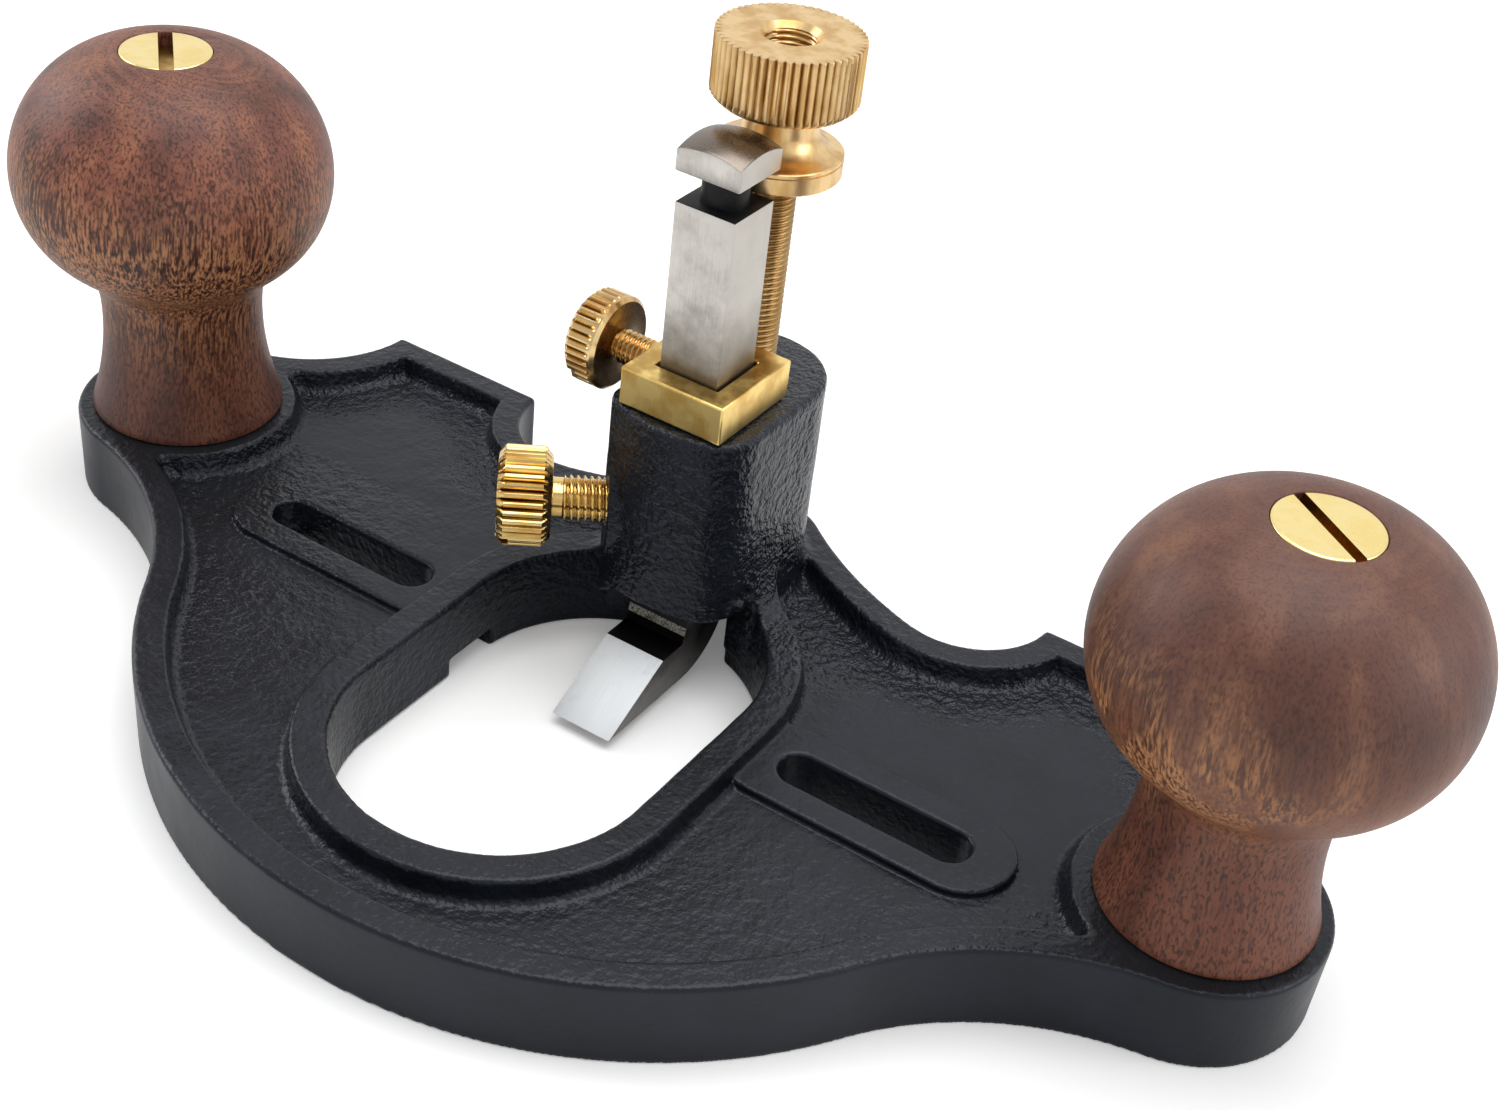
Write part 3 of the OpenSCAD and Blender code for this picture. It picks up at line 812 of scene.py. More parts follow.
@dataclass(frozen=True)
class Marks:
    """Sizes of the knurl and the thread that are cut into a turned piece."""

    head_radius: float = 1.0
    ribs: int = 24
    rib_depth: float = 0.0
    groove: float = 0.6
    pitch: float = 1.0
    thread_depth: float = 0.0

    def tree(self, material: Material) -> Tree:
        """Build the geometry tree that moves points in to cut both patterns.

        Args:
            material: Finish that the tree gives the piece.

        Returns:
            The tree, with its sizes as named inputs.
        """
        titles = ("Head Radius", "Ribs", "Rib Depth", "Groove", "Pitch", "Thread Depth")
        tree = bpy.data.node_groups.new("knurl_and_thread", "GeometryNodeTree")
        tree.interface.new_socket("Geometry", in_out="INPUT", socket_type="NodeSocketGeometry")
        for title in titles:
            tree.interface.new_socket(title, in_out="INPUT", socket_type="NodeSocketFloat")
        tree.interface.new_socket("Geometry", in_out="OUTPUT", socket_type="NodeSocketGeometry")
        sizes = add_node(tree, "NodeGroupInput").outputs
        found = {title: sizes[title] for title in titles}
        for name in ("knurl", "thread"):
            found[name] = add_node(tree, "GeometryNodeInputNamedAttribute", {"Name": name},
                                   data_type="FLOAT").outputs[0]
        place = add_node(tree, "GeometryNodeInputPosition").outputs[0]
        found["x"], found["y"], found["z"] = add_node(tree, SPLIT, {0: place}).outputs[:3]
        # Each sum has a name, an operation and terms, and a term can be the name of an earlier sum.
        for name, operation, *terms in (
            ("bearing", "ARCTAN2", "y", "x"),
            ("turn", "DIVIDE", "bearing", 2 * math.pi),
            ("x_square", "MULTIPLY", "x", "x"),
            ("y_square", "MULTIPLY", "y", "y"),
            ("square", "ADD", "x_square", "y_square"),
            ("radius", "SQRT", "square"),
            ("rib_count", "MULTIPLY", "turn", "Ribs"),
            ("rib_share", "FRACT", "rib_count"),
            ("rib_swing", "MULTIPLY_ADD", "rib_share", 2.0, -1.0),
            ("rib", "ABSOLUTE", "rib_swing"),
            ("rib_width", "DIVIDE", "rib", "Groove"),
            ("rib_depth", "SUBTRACT", 1.0, "rib_width"),
            ("vee", "MAXIMUM", "rib_depth", 0.0),
            ("vee_bite", "MULTIPLY", "vee", "Rib Depth"),
            ("bite", "MULTIPLY", "vee_bite", "knurl"),
            ("head", "SUBTRACT", "Head Radius", "bite"),
            ("knurled", "MINIMUM", "radius", "head"),
            ("turns", "DIVIDE", "z", "Pitch"),
            ("helix", "SUBTRACT", "turns", "turn"),
            ("climb", "FRACT", "helix"),
            ("climb_swing", "MULTIPLY_ADD", "climb", 2.0, -1.0),
            ("vees", "ABSOLUTE", "climb_swing"),
            ("sharp", "MULTIPLY_ADD", "vees", 1.6, -0.35),
            ("crested", "MAXIMUM", "sharp", 0.0),
            ("tooth", "MINIMUM", "crested", 1.0),
            ("tooth_bite", "MULTIPLY", "tooth", "Thread Depth"),
            ("flank", "MULTIPLY", "tooth_bite", "thread"),
            ("threaded", "SUBTRACT", "knurled", "flank"),
            ("safe", "MAXIMUM", "radius", TINY),
            ("scale", "DIVIDE", "threaded", "safe"),
            ("new_x", "MULTIPLY", "x", "scale"),
            ("new_y", "MULTIPLY", "y", "scale"),
            # The knurl's vees and the thread's roots are marked for darker brass: partly patina, partly
            # painted shade.
            ("root", "MULTIPLY", "tooth", 0.7),
            ("threads", "ABSOLUTE", "thread"),
            ("root_darkening", "MULTIPLY", "root", "threads"),
            ("vee_darkening", "MULTIPLY", "vee", "knurl"),
            ("darkening", "MAXIMUM", "vee_darkening", "root_darkening"),
        ):
            inputs = {i: found.get(term, term) for i, term in enumerate(terms)}
            found[name] = add_node(tree, MATH, inputs, operation=operation).outputs[0]
        moved = add_node(tree, "ShaderNodeCombineXYZ", {0: found["new_x"], 1: found["new_y"], 2: found["z"]})
        shaped = add_node(tree, "GeometryNodeSetPosition", {"Geometry": sizes["Geometry"],
                          "Position": moved.outputs[0]})
        soiled = add_node(tree, "GeometryNodeStoreNamedAttribute", {"Geometry": shaped.outputs[0],
                          "Name": "darkening", "Value": found["darkening"]}, data_type="FLOAT", domain="POINT")
        real = add_node(tree, "GeometryNodeRealizeInstances", {"Geometry": soiled.outputs[0]})
        dressed = add_node(tree, "GeometryNodeSetMaterial", {"Geometry": real.outputs[0],
                           "Material": material})
        add_node(tree, "NodeGroupOutput", {"Geometry": dressed.outputs[0]})
        return tree

    def cut(self, piece: Piece, material: Material) -> None:
        """Cut the knurl and the thread into a piece and make it a plain mesh.

        Args:
            piece: Turned piece, still about its own Z axis.
            material: Finish that the piece takes.
        """
        tree = self.tree(material)
        modifier = piece.modifiers.new("knurl_and_thread", "NODES")
        modifier.node_group = tree
        values = {
            "Head Radius": self.head_radius * MM,
            "Ribs": float(self.ribs),
            "Rib Depth": self.rib_depth * MM,
            "Groove": self.groove,
            "Pitch": self.pitch * MM,
            "Thread Depth": self.thread_depth * MM,
        }
        for item in tree.interface.items_tree:
            if item.in_out == "INPUT" and item.name in values:
                modifier[item.identifier] = values[item.name]
        settle(piece)
        bpy.data.node_groups.remove(tree)


def saw_slot(piece: Piece, reach: float, width: float, floor: float, top: float,
             turn: float) -> None:
    """Saw a screwdriver slot across a head; its walls take the second finish,
    a darker brass that is partly patina and partly painted shade.

    Args:
        piece: Screw or nut about its own Z axis, with two finishes.
        reach: Half the length of the saw cut.
        width: Width of the slot.
        floor: Height of the slot's floor.
        top: Height of the head's face.
        turn: Direction of the slot in degrees.
    """
    half, clear, slack = width / 2, 2.0, 0.01
    saw = box("saw", (-reach, -half, floor), (reach, half, top + clear))
    saw.data.transform(Matrix.Rotation(math.radians(turn), 4, "Z"))
    combine(piece, saw, Joining.CUT)
    across = Vector((-math.sin(math.radians(turn)), math.cos(math.radians(turn)), 0.0))
    for face in piece.data.polygons:
        aside = abs(face.center.dot(across)) / MM
        inside = floor - slack < face.center.z / MM < top - 2 * slack
        if inside and aside < half + slack:
            face.material_index = 1
    piece.data.set_sharp_from_angle(angle=math.radians(34))


def put(piece: Piece, spot: Triple, turn: Triple = (0.0, 0.0, 0.0)) -> None:
    """Carry a piece's mesh to its place; the object stays at the origin.

    Args:
        piece: Piece built about its own axis.
        spot: Place of its zero, in the knob-line frame.
        turn: Turn about X, Y and Z in radians.
    """
    x, y, z = spot
    home = Matrix.Translation(Vector((x, y + KNOB_LINE, z)) * MM)
    piece.data.transform(home @ Euler(turn).to_matrix().to_4x4())
    piece.data.update()


def enlist(piece: Piece, body: str, node: str) -> None:
    """Tell the frame what a piece stands for, and report it.

    Args:
        piece: Finished piece.
        body: Body that it moves with.
        node: CAD node that it stands for.
    """
    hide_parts(node)
    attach(piece, body)
    mesh = piece.data
    mesh.calc_loop_triangles()
    LOG.info("%s stands for %s on %s, %d triangles", piece.name, node, body, len(mesh.loop_triangles))


def both(a: Array, b: Array, radius: float) -> Array:
    """Return the overlap of two distance fields with its edge rounded.

    Args:
        a: First field, negative inside.
        b: Second field.
        radius: Radius of the edge in millimetres.

    Returns:
        The field of the overlap.
    """
    u = np.maximum(a + radius, 0)
    v = np.maximum(b + radius, 0)
    return np.minimum(np.maximum(a, b), -radius) + np.sqrt(u * u + v * v)


def either(a: Array, b: Array, radius: float) -> Array:
    """Return the join of two distance fields with a fillet between them."""
    return -both(-a, -b, radius)


def capsule(along: Array, across: Array, start: float, end: float, radius: float) -> Array:
    """Return the distance to a round-ended slot.

    Args:
        along: Coordinate along the slot.
        across: Coordinate across it.
        start: First end of its middle line.
        end: Last end of its middle line.
        radius: Half its width.

    Returns:
        The distance, negative inside.
    """
    return np.hypot(along - np.clip(along, start, end), across) - radius


def lumps(x: Array, y: Array, z: Array, size: float, seed: int) -> Array:
    """Return soft irregular lumps made of a few crossing waves.

    Args:
        x: X in millimetres.
        y: Y in millimetres.
        z: Z in millimetres.
        size: Typical width of a lump in millimetres.
        seed: Seed of the waves' directions.

    Returns:
        Heights between about minus one and one.
    """
    draw = np.random.default_rng(seed)
    total = 0.0
    count = 7
    for _ in range(count):
        way = draw.normal(size=3)
        way *= 2 * math.pi / (size * draw.uniform(1.5, 2.6) * np.linalg.norm(way))
        total = total + np.sin(x * way[0] + y * way[1] + z * way[2] + draw.uniform(0, 2 * math.pi))
    return total / math.sqrt(count)


def skin(values: Array, origin: Array, step: float) -> tuple[Array, Array]:
    """Draw a closed skin where a distance field changes sign.

    Args:
        values: Field on a grid, negative inside.
        origin: Place of the first grid point.
        step: Grid spacing.

    Returns:
        The skin's points and its four-sided faces, facing outwards.
    """
    inside = values < 0
    shape = np.array(values.shape) - 1
    count = np.zeros(shape, np.uint8)
    for i, j, k in product((0, 1), repeat=3):
        count += inside[i : shape[0] + i, j : shape[1] + j, k : shape[2] + k]
    cells = np.argwhere((count > 0) & (count < 8))
    number = np.full(shape, -1, np.int32)
    number[tuple(cells.T)] = np.arange(len(cells))
    total = np.zeros((len(cells), 3))
    hits = np.zeros(len(cells))
    for axis in range(3):
        rest = [other for other in range(3) if other != axis]
        for p, q in product((0, 1), repeat=2):
            corner = np.zeros(3, int)
            corner[rest] = (p, q)
            far = corner.copy()
            far[axis] = 1
            near_value = values[tuple((cells + corner).T)]
            far_value = values[tuple((cells + far).T)]
            crossed = (near_value < 0) != (far_value < 0)
            share = np.where(crossed, near_value / np.where(crossed, near_value - far_value, 1), 0)
            spot = np.repeat(corner[None, :].astype(float), len(cells), axis=0)
            spot[:, axis] = share
            total += spot * crossed[:, None]
            hits += crossed
    points = origin + (cells + total / hits[:, None]) * step
    faces = []
    for axis in range(3):
        rest = [other for other in range(3) if other != axis]
        low = [slice(1, -1)] * 3
        low[axis] = slice(0, -1)
        high = [slice(1, -1)] * 3
        high[axis] = slice(1, None)
        near, far = inside[tuple(low)], inside[tuple(high)]
        edges = np.argwhere(near != far)
        leaving = near[tuple(edges.T)]
        base = edges + 1
        base[:, axis] -= 1
        loop = []
        for p, q in ((-1, -1), (0, -1), (0, 0), (-1, 0)):
            cell = base.copy()
            cell[:, rest[0]] += p
            cell[:, rest[1]] += q
            loop.append(number[tuple(cell.T)])
        quads = np.stack(loop, axis=1)
        if axis == 1:
            leaving = ~leaving
        quads[~leaving] = quads[~leaving][:, ::-1]
        faces.append(quads)
    return points, np.concatenate(faces)


def slopes(values: Array, origin: Array, step: float, points: Array) -> Array:
    """Return the outward direction of a field at some points.

    Args:
        values: Field on a grid.
        origin: Place of the first grid point.
        step: Grid spacing.
        points: Places that are asked for.

    Returns:
        Unit directions.
    """
    spot = (points - origin) / step
    cell = np.clip(np.floor(spot).astype(int), 0, np.array(values.shape) - 2)
    share = spot - cell
    steep = np.zeros_like(points)
    for i, j, k in product((0, 1), repeat=3):
        value = values[cell[:, 0] + i, cell[:, 1] + j, cell[:, 2] + k]
        weights = [share[:, a] if bit else 1 - share[:, a] for a, bit in enumerate((i, j, k))]
        steep[:, 0] += (2 * i - 1) * weights[1] * weights[2] * value
        steep[:, 1] += (2 * j - 1) * weights[0] * weights[2] * value
        steep[:, 2] += (2 * k - 1) * weights[0] * weights[1] * value
    return steep / np.maximum(np.linalg.norm(steep, axis=1, keepdims=True), TINY)


def bearing(a: Array, b: Array) -> float:
    """Return the direction from a to b in plan."""
    return math.atan2(b[1] - a[1], b[0] - a[0])


def meeting(a: Array, reach_a: float, b: Array, reach_b: float) -> Array:
    """Find the point at a given reach from each of two others.

    Args:
        a: First point in plan.
        reach_a: Distance from the first point.
        b: Second point in plan.
        reach_b: Distance from the second point.

    Returns:
        The point on the right of the way from a to b.
    """
    span = np.linalg.norm(b - a)
    way = (b - a) / span
    along = (reach_a**2 - reach_b**2 + span**2) / (2 * span)
    return a + way * along + np.array((way[1], -way[0])) * math.sqrt(reach_a**2 - along**2)


def blob(place: Sequence[Array], centre: Triple, size: Triple) -> Array:
    """Return a share that is one at a centre and fades away over a size."""
    return np.exp(-sum(((a - b) / c) ** 2 for a, b, c in zip(place, centre, size)))


@dataclass
class BaseCasting:
    """The enamelled casting: base plate with its hollows, throat, fence slots
    and the post that holds the cutter."""

    height: float = 12.0
    rim_round: float = 0.6
    sole_round: float = 0.25
    front_r: float = 63.6
    front_line: float = 0.5
    ear_r: float = 16.0
    ear_x: float = 79.1
    front_hollow_r: float = 44.0
    back_edge: float = 33.6
    back_in: float = 42.7
    back_out: float = 68.5
    back_hollow_r: float = 11.5
    nose_r: float = 11.0
    nose_line: float = 25.0
    sweep_r: float = 60.0
    outline_step: float = 0.25
    floor_z: float = 8.8
    rim_w: float = 4.1
    boss_r: float = 15.7
    left_boss_less: float = 0.7
    ridge_w: float = 4.5
    sink_most: float = 6.0
    rim_draft: float = 0.2
    boss_draft: float = 0.3
    ridge_draft: float = 0.14
    hollow_corner: float = 2.2
    hollow_fillet: float = 1.2
    hollow_lip: float = 0.4
    throat_r: float = 20.25
    throat_front: float = -29.75
    throat_back: float = -7.05
    throat_lip: float = 0.7
    gusset_r: float = 6.0
    gusset_low: float = 6.0
    gusset_slope: float = 0.75
    gusset_round: float = 0.4
    gusset_fillet: float = 0.5
    notch_r: float = 6.1
    notch_end: float = 16.85
    notch_round: float = 0.4
    slot_in: float = 27.9
    slot_out: float = 54.2
    slot_r: float = 2.8
    slot_line: float = -9.4
    slot_lip: float = 0.55
    pad_z: float = 9.95
    pad_low: float = 4.0
    pad_in: float = 7.0
    pad_end: float = 1.5
    pad_margin: float = 4.3
    pad_draft: float = 0.12
    pad_sink: float = 2.0
    pad_round: float = 0.35
    groove_r: float = 4.3
    groove_in: float = 4.0
    groove_z: float = 3.0
    groove_lip: float = 0.2
    post_top: float = 40.8
    post_low: float = 4.0
    post_under: float = 13.5
    post_half: float = 10.0
    post_front: float = 0.45
    post_face_r: float = 18.0
    post_back: float = 21.0
    post_corners: Pair = (1.6, 3.4)
    post_draft: float = 0.002
    post_round: float = 0.8
    post_fillet: float = 2.0
    under_round: Pair = (0.3, 0.6)
    droop: float = 0.075
    droop_from: float = 2.5
    swell_out: float = 11.0
    swell_r: float = 4.0
    swell_flat: float = 0.55
    swell_round: float = 0.3
    swell_fillet: float = 0.8
    ripple: float = 0.008
    ripple_more: float = 0.016
    ripple_mm: float = 3.0
    ripple_seed: int = 5
    scar: Triple = (10.6, 8.0, 15.2)
    scar_size: Triple = (2.6, 3.6, 2.6)
    scar_depth: float = 0.42
    scar_lift: float = 0.5
    scar_mm: float = 1.0
    scar_seed: int = 11
    shank_hole: float = 4.31
    shank_from: float = 8.0
    rod_hole: float = 3.03
    rod_from: float = 23.25
    lock_hole: float = 3.06
    lock_reach: float = 16.0
    stud_hole: float = 3.03
    stud_from: float = 2.5
    low: Triple = (-97.13, -66.11, -1.03)
    high: Triple = (97.2, 37.0, 42.2)
    split_z: float = 18.0
    post_x: Pair = (-16.0, 16.0)
    post_y: Pair = (-6.0, 36.0)
    grid: float = 0.38
    quick_grid: float = 0.8
    outside: float = 5.0
    most_triangles: int = 188000
    floor_grain: float = 0.18
    front_grain: float = 0.27
    left_grain: float = 0.5
    cove_grain: float = 1.2
    slope_grain: float = 0.5
    post_grain: float = 0.72
    top_grain: float = 0.4
    wall_grain: float = 0.06
    most_grain: float = 1.3
    hot_grain: float = 0.9
    hot: Triple = (17.0, 13.0, 11.0)
    hot_size: Triple = (11.0, 10.0, 6.0)

    def outline(self) -> Array:
        """Draw the right half of the outline with its corners eased.

        Returns:
            Evenly spaced points from the front middle to the nose.
        """
        middle = np.array((0.0, -self.front_line))
        ear = np.array((self.ear_x, 0.0))
        hollow = meeting(middle, self.front_r + self.front_hollow_r, ear, self.ear_r + self.front_hollow_r)
        room = self.back_out - self.ear_r
        side_x = (self.ear_x**2 + self.back_edge**2 - room**2) / (2 * (self.ear_x - room))
        side = np.array((side_x, self.back_edge))
        nose = np.array((0.0, self.nose_line))
        cove = np.array((self.back_in - self.back_hollow_r, self.back_edge))
        sweep = meeting(cove, self.sweep_r - self.back_hollow_r, nose, self.sweep_r + self.nose_r)
        arcs = (
            (middle, self.front_r, -math.pi / 2, bearing(middle, hollow)),
            (hollow, self.front_hollow_r, bearing(hollow, middle), bearing(hollow, ear)),
            (ear, self.ear_r, bearing(ear, hollow), bearing(ear, side)),
            (side, side_x - self.back_out, bearing(side, ear), -math.pi),
            (cove, self.back_hollow_r, 0.0, bearing(sweep, cove)),
            (sweep, self.sweep_r, bearing(sweep, cove), bearing(sweep, nose)),
            (nose, self.nose_r, bearing(nose, sweep), math.pi / 2),
        )
        rough = []
        for centre, radius, start, end in arcs:
            turn = np.linspace(start, end, max(3, int(abs(end - start) * radius / 0.2)))
            rough.append(centre + radius * np.stack((np.cos(turn), np.sin(turn)), axis=1))
        path = np.concatenate(rough)
        length = np.concatenate(([0], np.cumsum(np.linalg.norm(np.diff(path, axis=0), axis=1))))
        even = np.linspace(0, length[-1], int(length[-1] / self.outline_step))
        path = np.stack([np.interp(even, length, path[:, i]) for i in (0, 1)], axis=1)
        for _ in range(3):
            path[1:-1] = path[1:-1] * 0.5 + (path[:-2] + path[2:]) * 0.25
        return path

    def outline_distance(self, x: Array, y: Array) -> Array:
        """Return the distance to the outline in plan.

        Args:
            x: X of the grid.
            y: Y of the grid.

        Returns:
            The distance, negative inside.
        """
        path = self.outline()
        starts, ways = path[:-1], np.diff(path, axis=0)
        spots = np.stack((np.abs(x).ravel(), y.ravel()), axis=1)
        result = np.empty(len(spots))
        # The grid is worked through in batches to keep the table of gaps small.
        batch = 4096
        for first in range(0, len(spots), batch):
            some = spots[first : first + batch]
            gap = (some[:, None, 0] - path[None, :, 0]) ** 2 + (some[:, None, 1] - path[None, :, 1]) ** 2
            nearest = np.argmin(gap, axis=1)
            best = np.full(len(some), np.inf)
            for move in (-1, 0):
                pick = np.clip(nearest + move, 0, len(starts) - 1)
                away = some - starts[pick]
                way = ways[pick]
                share = np.clip((away * way).sum(axis=1) / (way * way).sum(axis=1), 0, 1)
                off = away - way * share[:, None]
                distance = np.hypot(off[:, 0], off[:, 1])
                side = np.sign(way[:, 1] * away[:, 0] - way[:, 0] * away[:, 1])
                signed = distance * np.where(side == 0, 1, side)
                best = np.where(distance < np.abs(best) - TINY, signed, best)
            result[first : first + batch] = best
        return result.reshape(x.shape)

    def plate(self, x: Array, y: Array, z: Array, edge: Array, throat: Array, post_plan: Array) -> Array:
        """Return the field of the base plate with its hollows, ridge and pads.

        Args:
            x: X of the grid.
            y: Y of the grid.
            z: Heights of the grid.
            edge: Distance to the outline in plan.
            throat: Distance to the throat in plan.
            post_plan: Distance to the post in plan.

        Returns:
            The field, negative inside the metal.
        """
        span = np.abs(x)
        boss_r = np.where(x > 0, self.boss_r, self.boss_r - self.left_boss_less)
        boss = np.hypot(span - KNOB_X, y) - boss_r
        sink = np.clip(self.height - z, 0, self.sink_most)
        body = both(both(edge, z - self.height, self.rim_round), -z, self.sole_round)
        rim = edge + self.rim_w + self.rim_draft * sink
        hollow = both(rim, self.boss_draft * sink - boss, self.hollow_corner)
        hollow = both(hollow, self.ridge_w - throat + self.ridge_draft * sink, self.hollow_fillet)
        body = both(body, -both(hollow, self.floor_z - z, self.hollow_fillet), self.hollow_lip)
        near = np.clip(self.gusset_r - post_plan, 0, self.gusset_r)
        rise = self.gusset_r - np.sqrt(self.gusset_r**2 - near**2)
        ridge = np.maximum(-throat, throat - self.ridge_w)
        gusset = both(ridge, (z - self.height - rise) * self.gusset_slope, self.gusset_round)
        body = either(body, np.maximum(gusset, self.gusset_low - z), self.gusset_fillet)
        pad = capsule(span, y - self.slot_line, self.throat_r + self.pad_in,
                      self.slot_out - self.slot_r + self.pad_end, self.slot_r + self.pad_margin)
        flare = self.pad_draft * np.clip(self.pad_z - z, 0, self.pad_sink)
        raised = both(pad + flare, z - self.pad_z, self.pad_round)
        body = either(body, np.maximum(raised, self.pad_low - z), self.pad_round)
        return both(body, -throat, self.throat_lip)

    def post(self, x: Array, z: Array, throat: Array, post_plan: Array, out: Array, aside: Array) -> Array:
        """Return the field of the post, undercut over the throat.

        Args:
            x: X of the grid.
            z: Heights of the grid.
            throat: Distance to the throat in plan.
            post_plan: Distance to the post in plan.
            out: Distance from the shank along the lock screw.
            aside: Distance across the lock screw.

        Returns:
            The field, negative inside the metal.
        """
        droop = self.droop * np.maximum(-x - self.droop_from, 0) ** 2
        lean = self.post_draft * (self.post_top - np.maximum(z, self.height))
        post = both(post_plan - lean, z - self.post_top, self.post_round)
        hollow = both(throat, z - self.post_under + droop, self.under_round[0])
        post = both(post, -hollow, self.under_round[1])
        oval = np.hypot(aside, self.swell_flat * (z - LOCK_Z)) - self.swell_r
        swell = both(oval, out - self.swell_out, self.swell_round)
        post = either(post, np.maximum(swell, -out), self.swell_fillet)
        return np.maximum(post, self.post_low - z)

    def field(self, x: Array, y: Array, z: Array, edge: Array) -> Array:
        """Return the casting's distance field.

        Args:
            x: X of the grid, as a column of the plan.
            y: Y of the grid, as a column of the plan.
            z: Heights of the grid.
            edge: Distance to the outline in plan.

        Returns:
            The field, negative inside the metal.
        """
        span = np.abs(x)
        throat = capsule(y, x, self.throat_front, self.throat_back, self.throat_r)
        sides = np.hypot(x, np.maximum(y - self.post_back, 0)) - self.post_half
        face = np.hypot(x, y - self.post_front - self.post_face_r) - self.post_face_r
        left, right = (both(sides, face, corner) for corner in self.post_corners)
        post_plan = np.where(x > 0, right, left)
        turn = math.radians(LOCK_TURN)
        out = -(x * math.cos(turn) + (y - SHANK_LINE) * math.sin(turn))
        aside = x * math.sin(turn) - (y - SHANK_LINE) * math.cos(turn)
        body = self.plate(x, y, z, edge, throat, post_plan)
        body = either(body, self.post(x, z, throat, post_plan, out, aside), self.post_fillet)
        calm = (self.ripple + self.ripple_more * np.clip(-edge - 1, 0, 1)) * np.clip(z - 0.2, 0, 1)
        rough = self.scar_depth * blob((x, y, z), self.scar, self.scar_size)
        body = body - calm * lumps(x, y, z, self.ripple_mm, self.ripple_seed)
        body = body - rough * (lumps(x, y, z, self.scar_mm, self.scar_seed) + self.scar_lift)
        notch = capsule(y, x, self.throat_back, self.notch_end, self.notch_r)
        body = both(body, -both(notch, z - self.post_under, self.notch_round), self.notch_round)
        last = self.slot_out - self.slot_r
        fence = capsule(span, y - self.slot_line, self.slot_in + self.slot_r, last, self.slot_r)
        body = both(body, -np.maximum(fence, z - self.height), self.slot_lip)
        groove = capsule(span, y - self.slot_line, self.throat_r - self.groove_in, last, self.groove_r)
        body = both(body, -np.maximum(groove, z - self.groove_z), self.groove_lip)
        shank = np.maximum(span, np.abs(y - SHANK_LINE)) - self.shank_hole
        rod = np.hypot(x, y - ROD_LINE) - self.rod_hole
        lock = np.hypot(aside, z - LOCK_Z) - self.lock_hole
        stud = np.hypot(span - KNOB_X, y) - self.stud_hole
        for bore, ends in (
            (shank, self.shank_from - z),
            (rod, self.rod_from - z),
            (lock, np.maximum(-out, out - self.lock_reach)),
            (stud, self.stud_from - z),
        ):
            body = np.maximum(body, -np.maximum(bore, ends))
        return body

    def build(self, enamel: Material, sole: Material) -> Piece:
        """Skin the field, thin it and mark where the sand's grain shows.

        Args:
            enamel: Finish of everything but the sole.
            sole: Finish of the flat sole.

        Returns:
            The casting.
        """
        step = self.grid
        x, y, z = (np.arange(a, b, step) for a, b in zip(self.low, self.high))
        plan_x, plan_y = np.meshgrid(x, y, indexing="ij")
        edge = self.outline_distance(plan_x, plan_y)
        values = np.full((len(x), len(y), len(z)), self.outside, np.float32)
        # Above the plate only the post's own window of the grid is worked out.
        cut = int(np.searchsorted(z, self.split_z))
        columns = [grid[:, :, None].astype(np.float32) for grid in (plan_x, plan_y, edge)]
        heights = z[None, None, :].astype(np.float32)
        values[:, :, :cut] = self.field(columns[0], columns[1], heights[:, :, :cut], columns[2])
        i0, i1 = np.searchsorted(x, self.post_x)
        j0, j1 = np.searchsorted(y, self.post_y)
        column = [grid[i0:i1, j0:j1] for grid in columns]
        values[i0:i1, j0:j1, cut:] = self.field(column[0], column[1], heights[:, :, cut:], column[2])
        origin = np.array((x[0], y[0], z[0]))
        points, faces = skin(values, origin, step)
        piece = make_piece("casting_enamelled", points, faces.tolist(), (enamel, sole), None)
        if len(faces) * 2 > self.most_triangles:
            thin = piece.modifiers.new("thin", "DECIMATE")
            thin.ratio = self.most_triangles / (2 * len(faces))
            settle(piece)
        mesh = piece.data
        place = np.empty(len(mesh.vertices) * 3, np.float32)
        mesh.vertices.foreach_get("co", place)
        place = place.reshape(-1, 3) / MM
        facing = slopes(values, origin, step, place.astype(float))
        mesh.shade_smooth()
        mesh.normals_split_custom_set_from_vertices(facing.tolist())
        self.mark_grain(mesh, place, facing)
        put(piece, (0.0, 0.0, 0.0))
        return piece

    def mark_grain(self, mesh: bpy.types.Mesh, place: Array, facing: Array) -> None:
        """Write how strongly the sand's grain shows, and give the sole its finish.

        Args:
            mesh: The casting's mesh.
            place: Its points in millimetres.
            facing: Their outward directions.
        """
        edge = self.outline_distance(place[:, 0:1], place[:, 1:2])[:, 0]
        x, y, z = place.T
        tilt = facing[:, 2]
        wall = (edge > -0.9) & (np.abs(tilt) < 0.7)
        top = (tilt > 0.75) & (np.abs(z - self.height) < 0.5)
        # The floor is rougher towards the front and most of all on the left.
        floor = self.floor_grain + self.front_grain * np.clip((-y - 15) / 15, 0, 1)
        floor = floor + self.left_grain * np.clip((-x - 30) / 20, 0, 1) * (y < 5)
